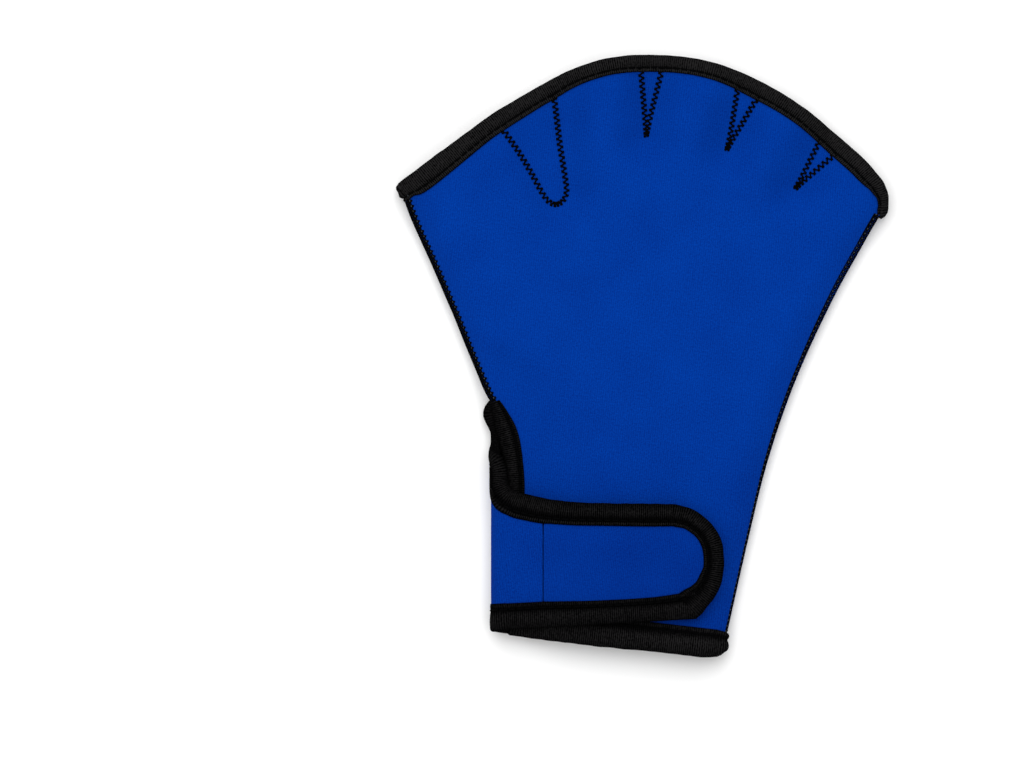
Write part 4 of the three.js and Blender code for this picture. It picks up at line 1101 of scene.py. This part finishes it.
overlock = {
    "pitch": 2.05,
    "widths": (1.9, 2.0),     # reach of the loops at the slit and at the fingers, on the thumb's side
    "thickness": 0.78,
    "thinner": 0.6,           # thickness on the little finger's side
    "rise": 0.12,
    "chainPlace": 0.6,        # share of the way to the loops' inner ends
    "chainRise": 0.05,
    "outside": 0.25,          # how far the loops reach beyond the panels' edges, and how much lower
    "lowSunk": 0.45,          # depth in the palm's lower face at the loops' inner and outer ends
    "outerLowSunk": 0.5,
    "knot": 0.42,
    "knotRise": 0.3,
    "knotLength": 0.3,
}
# share of the little finger's side seam, reach of the loops
seamWidth = [(0, 0.2), (0.28, 0.25), (0.46, 0.75), (0.64, 1.0), (0.87, 1.5), (1, 1.5)]


def overlockSeam(name, seam, inwardSide, widths, thickness, chainInside=False):
    # loops of thread that wrap the two panels' edges, held by a chain with knots painted pale as a highlight
    # on the thread
    path = evenly(seam, overlock["pitch"] / 2)
    inward = inwardSide * leftOf(unit(np.gradient(path, axis=0)))
    reach = inward * widths(np.linspace(0, 1, len(path)))[:, None]
    inner = path + reach
    outer = path - inward * overlock["outside"]
    top = halfCloth + overlock["rise"]
    innerTop = backPlace(inner) + [0, 0, top]
    chain = backPlace(path + reach * overlock["chainPlace"]) + [0, 0, top + overlock["chainRise"]]
    outerTop = backPlace(outer) + [0, 0, top - overlock["outside"]]
    innerLow = palmPlace(inner) + [0, 0, overlock["lowSunk"] - halfCloth]
    outerLow = palmPlace(outer) + [0, 0, overlock["outerLowSunk"] - halfCloth]
    odd, even = slice(1, None, 2), slice(0, None, 2)
    segments = [(innerTop[:-1][even], outerTop[1:][even]), (innerTop[even], outerTop[even]),
                (outerTop[:-1][odd], innerTop[1:][odd]), (outerTop, outerLow), (outerTop[:-1], outerTop[1:]),
                (outerLow[:-1][even], innerLow[1:][even]), (innerLow[:-1][odd], outerLow[1:][odd]),
                (chain[:-1], chain[1:])]
    if chainInside:
        segments.append((innerTop[:-1], innerTop[1:]))
    rowStarts, rowEnds = (np.concatenate(side) for side in zip(*segments))
    knots = chain[even] + [0, 0, overlock["knotRise"]]
    knotEnds = knots + unit(np.gradient(knots, axis=0)) * overlock["knotLength"]
    finished(sew(name + "_knots", knots, knotEnds, overlock["knot"]), highlightThread, "binding_tape")
    return finished(sew(name, rowStarts, rowEnds, thickness, (0, 0.3, 1)), blackThread, "binding_tape")


leftSeamStitches = overlockSeam("thumb_side_seam", leftSeam(np.linspace(-0.012, 0.97, 100)), -1,
                                lambda at: mix(*overlock["widths"], at), overlock["thickness"])
rightSeamStitches = overlockSeam("little_finger_side_seam", rightSeam(np.linspace(0.05, 0.975, 200)), 1,
                                 lambda at: follow(seamWidth, at), overlock["thinner"], True)
print("stitches ready")

hookPad = {
    "length": 28.0,
    "width": 20.0,
    "base": 0.7,
    "place": 38.0,
    "clearance": 0.3,
    "rounding": 0.25,
    "pitch": 1.7,
    "stemRadius": 0.42,
    "stemTop": 0.16,
    "stem": 0.6,
    "head": 0.12,             # how far the head leans over, and how tall it is
    "headSize": 2.2,          # as a share of the stem's top
    "sunk": 0.02,             # how deep the stem stands in the base
}


def makeHook():
    # a small stem with a wider head that leans over
    bpy.ops.object.select_all(action="DESELECT")
    bpy.ops.mesh.primitive_cone_add(vertices=5, radius1=hookPad["stemRadius"] * mm,
                                    radius2=hookPad["stemTop"] * mm, depth=hookPad["stem"] * mm)
    hook = bpy.context.object
    head = hookPad["head"] * mm
    pick(hook, "polygons", lambda polygon: polygon.normal.z > 0.9)
    bpy.ops.mesh.extrude_region_move(TRANSFORM_OT_translate={"value": (head, 0, head)})
    bpy.ops.transform.resize(value=(hookPad["headSize"], hookPad["headSize"], 1),
                             center_override=(head, 0, hookPad["stem"] / 2 * mm + head))
    bpy.ops.object.mode_set(mode="OBJECT")
    return hook


def makeHookPad():
    length, width, base, pitch = (hookPad[key] for key in ("length", "width", "base", "pitch"))
    middleP = hookPad["place"] + length / 2
    centre = foldPoint(middleP, float(strapUpperAt(middleP) + strapLowerAt(middleP)) / 2) + patternToFrame
    top = strapHeight - halfCloth - hookPad["clearance"]
    hookHeight = top - base - hookPad["stem"] / 2 + hookPad["sunk"]
    bpy.ops.object.select_all(action="DESELECT")
    bpy.ops.mesh.primitive_cube_add(size=1, location=Vector((*centre, top - base / 2)) * mm)
    pad = bpy.context.object
    pad.scale = Vector((length, width, base)) * mm
    pad.rotation_euler = (0, 0, tilt)
    bpy.ops.object.transform_apply(location=True, rotation=True, scale=True)
    bpy.ops.object.mode_set(mode="EDIT")
    bpy.ops.mesh.select_all(action="SELECT")
    bpy.ops.mesh.bevel(offset=hookPad["rounding"] * mm, segments=2)
    bpy.ops.object.mode_set(mode="OBJECT")
    hook = makeHook()
    # rows of hooks that hang from the base, every other row half a step further on
    hangs = Matrix.Rotation(math.pi, 4, "X")
    grid = [((i + 1) * pitch - length / 2, (j + 1 + 0.5 * (i % 2)) * pitch - width / 2)
            for i in range(int(length / pitch) - 1) for j in range(int(width / pitch) - 1)]
    copies = []
    for x, y in grid:
        if y <= width / 2 - 1:
            copy = hook.copy()
            copy.data = hook.data.copy()
            spot = Vector((*(centre + x * along + y * upward), hookHeight)) * mm
            copy.matrix_world = Matrix.Translation(spot) @ hangs
            bpy.context.collection.objects.link(copy)
            copies.append(copy)
    bpy.data.objects.remove(hook)
    choose(pad)
    for copy in copies:
        copy.select_set(True)
    bpy.ops.object.join()
    pad.name = "hook_pad_tape"
    bpy.ops.object.shade_smooth_by_angle(angle=math.radians(35))
    return pad


finished(makeHookPad(), hookTape, "hook_tape", "hook_pad")
print("hook pad ready")
# Floor, light and camera
bpy.ops.object.select_all(action="DESELECT")
bpy.ops.mesh.primitive_plane_add(size=6, location=(0, 0, -0.0002))
floor = bpy.context.object
floor.name = "floor"
floor.data.materials.append(floorFinish())

light = {
    "sky": 0.78,
    "keyPower": 25.8,
    "keyPlace": (-0.3, 0.85, 1.55),
    "keySize": 2.0,
    "fillPower": 2.0,
    "fillPlace": (0.9, -0.5, 1.7),
    "fillSize": 1.4,
}
world = bpy.data.worlds.new("studio")
bpy.context.scene.world = world
world.use_nodes = True
sky = world.node_tree.nodes["Background"].inputs
sky["Color"].default_value = (1, 1, 1, 1)
sky["Strength"].default_value = light["sky"]


def addSoftbox(name, place, size, power):
    bpy.ops.object.light_add(type="AREA", location=place)
    lamp = bpy.context.object
    lamp.name = name
    lamp.data.size = size
    lamp.data.energy = power
    lamp.rotation_euler = Vector(place).to_track_quat("Z", "Y").to_euler()


addSoftbox("key_light", light["keyPlace"], light["keySize"], light["keyPower"])
addSoftbox("fill_light", light["fillPlace"], light["fillSize"], light["fillPower"])

camera = {
    "place": (-0.04126, -0.01784),
    "height": 4.0,
    "turn": 6.4,
    "viewWidth": 0.3809,
    "sensor": 36.0,
}
bpy.ops.object.camera_add(location=(*camera["place"], camera["height"]),
                          rotation=(0, 0, math.radians(camera["turn"])))
bpy.context.scene.camera = bpy.context.object
lens = bpy.context.object.data
lens.sensor_width = camera["sensor"]
lens.lens = camera["sensor"] * (camera["height"] - strapHeight * mm / 2) / camera["viewWidth"]
bpy.context.scene.view_settings.view_transform = "Standard"
print("stage ready")
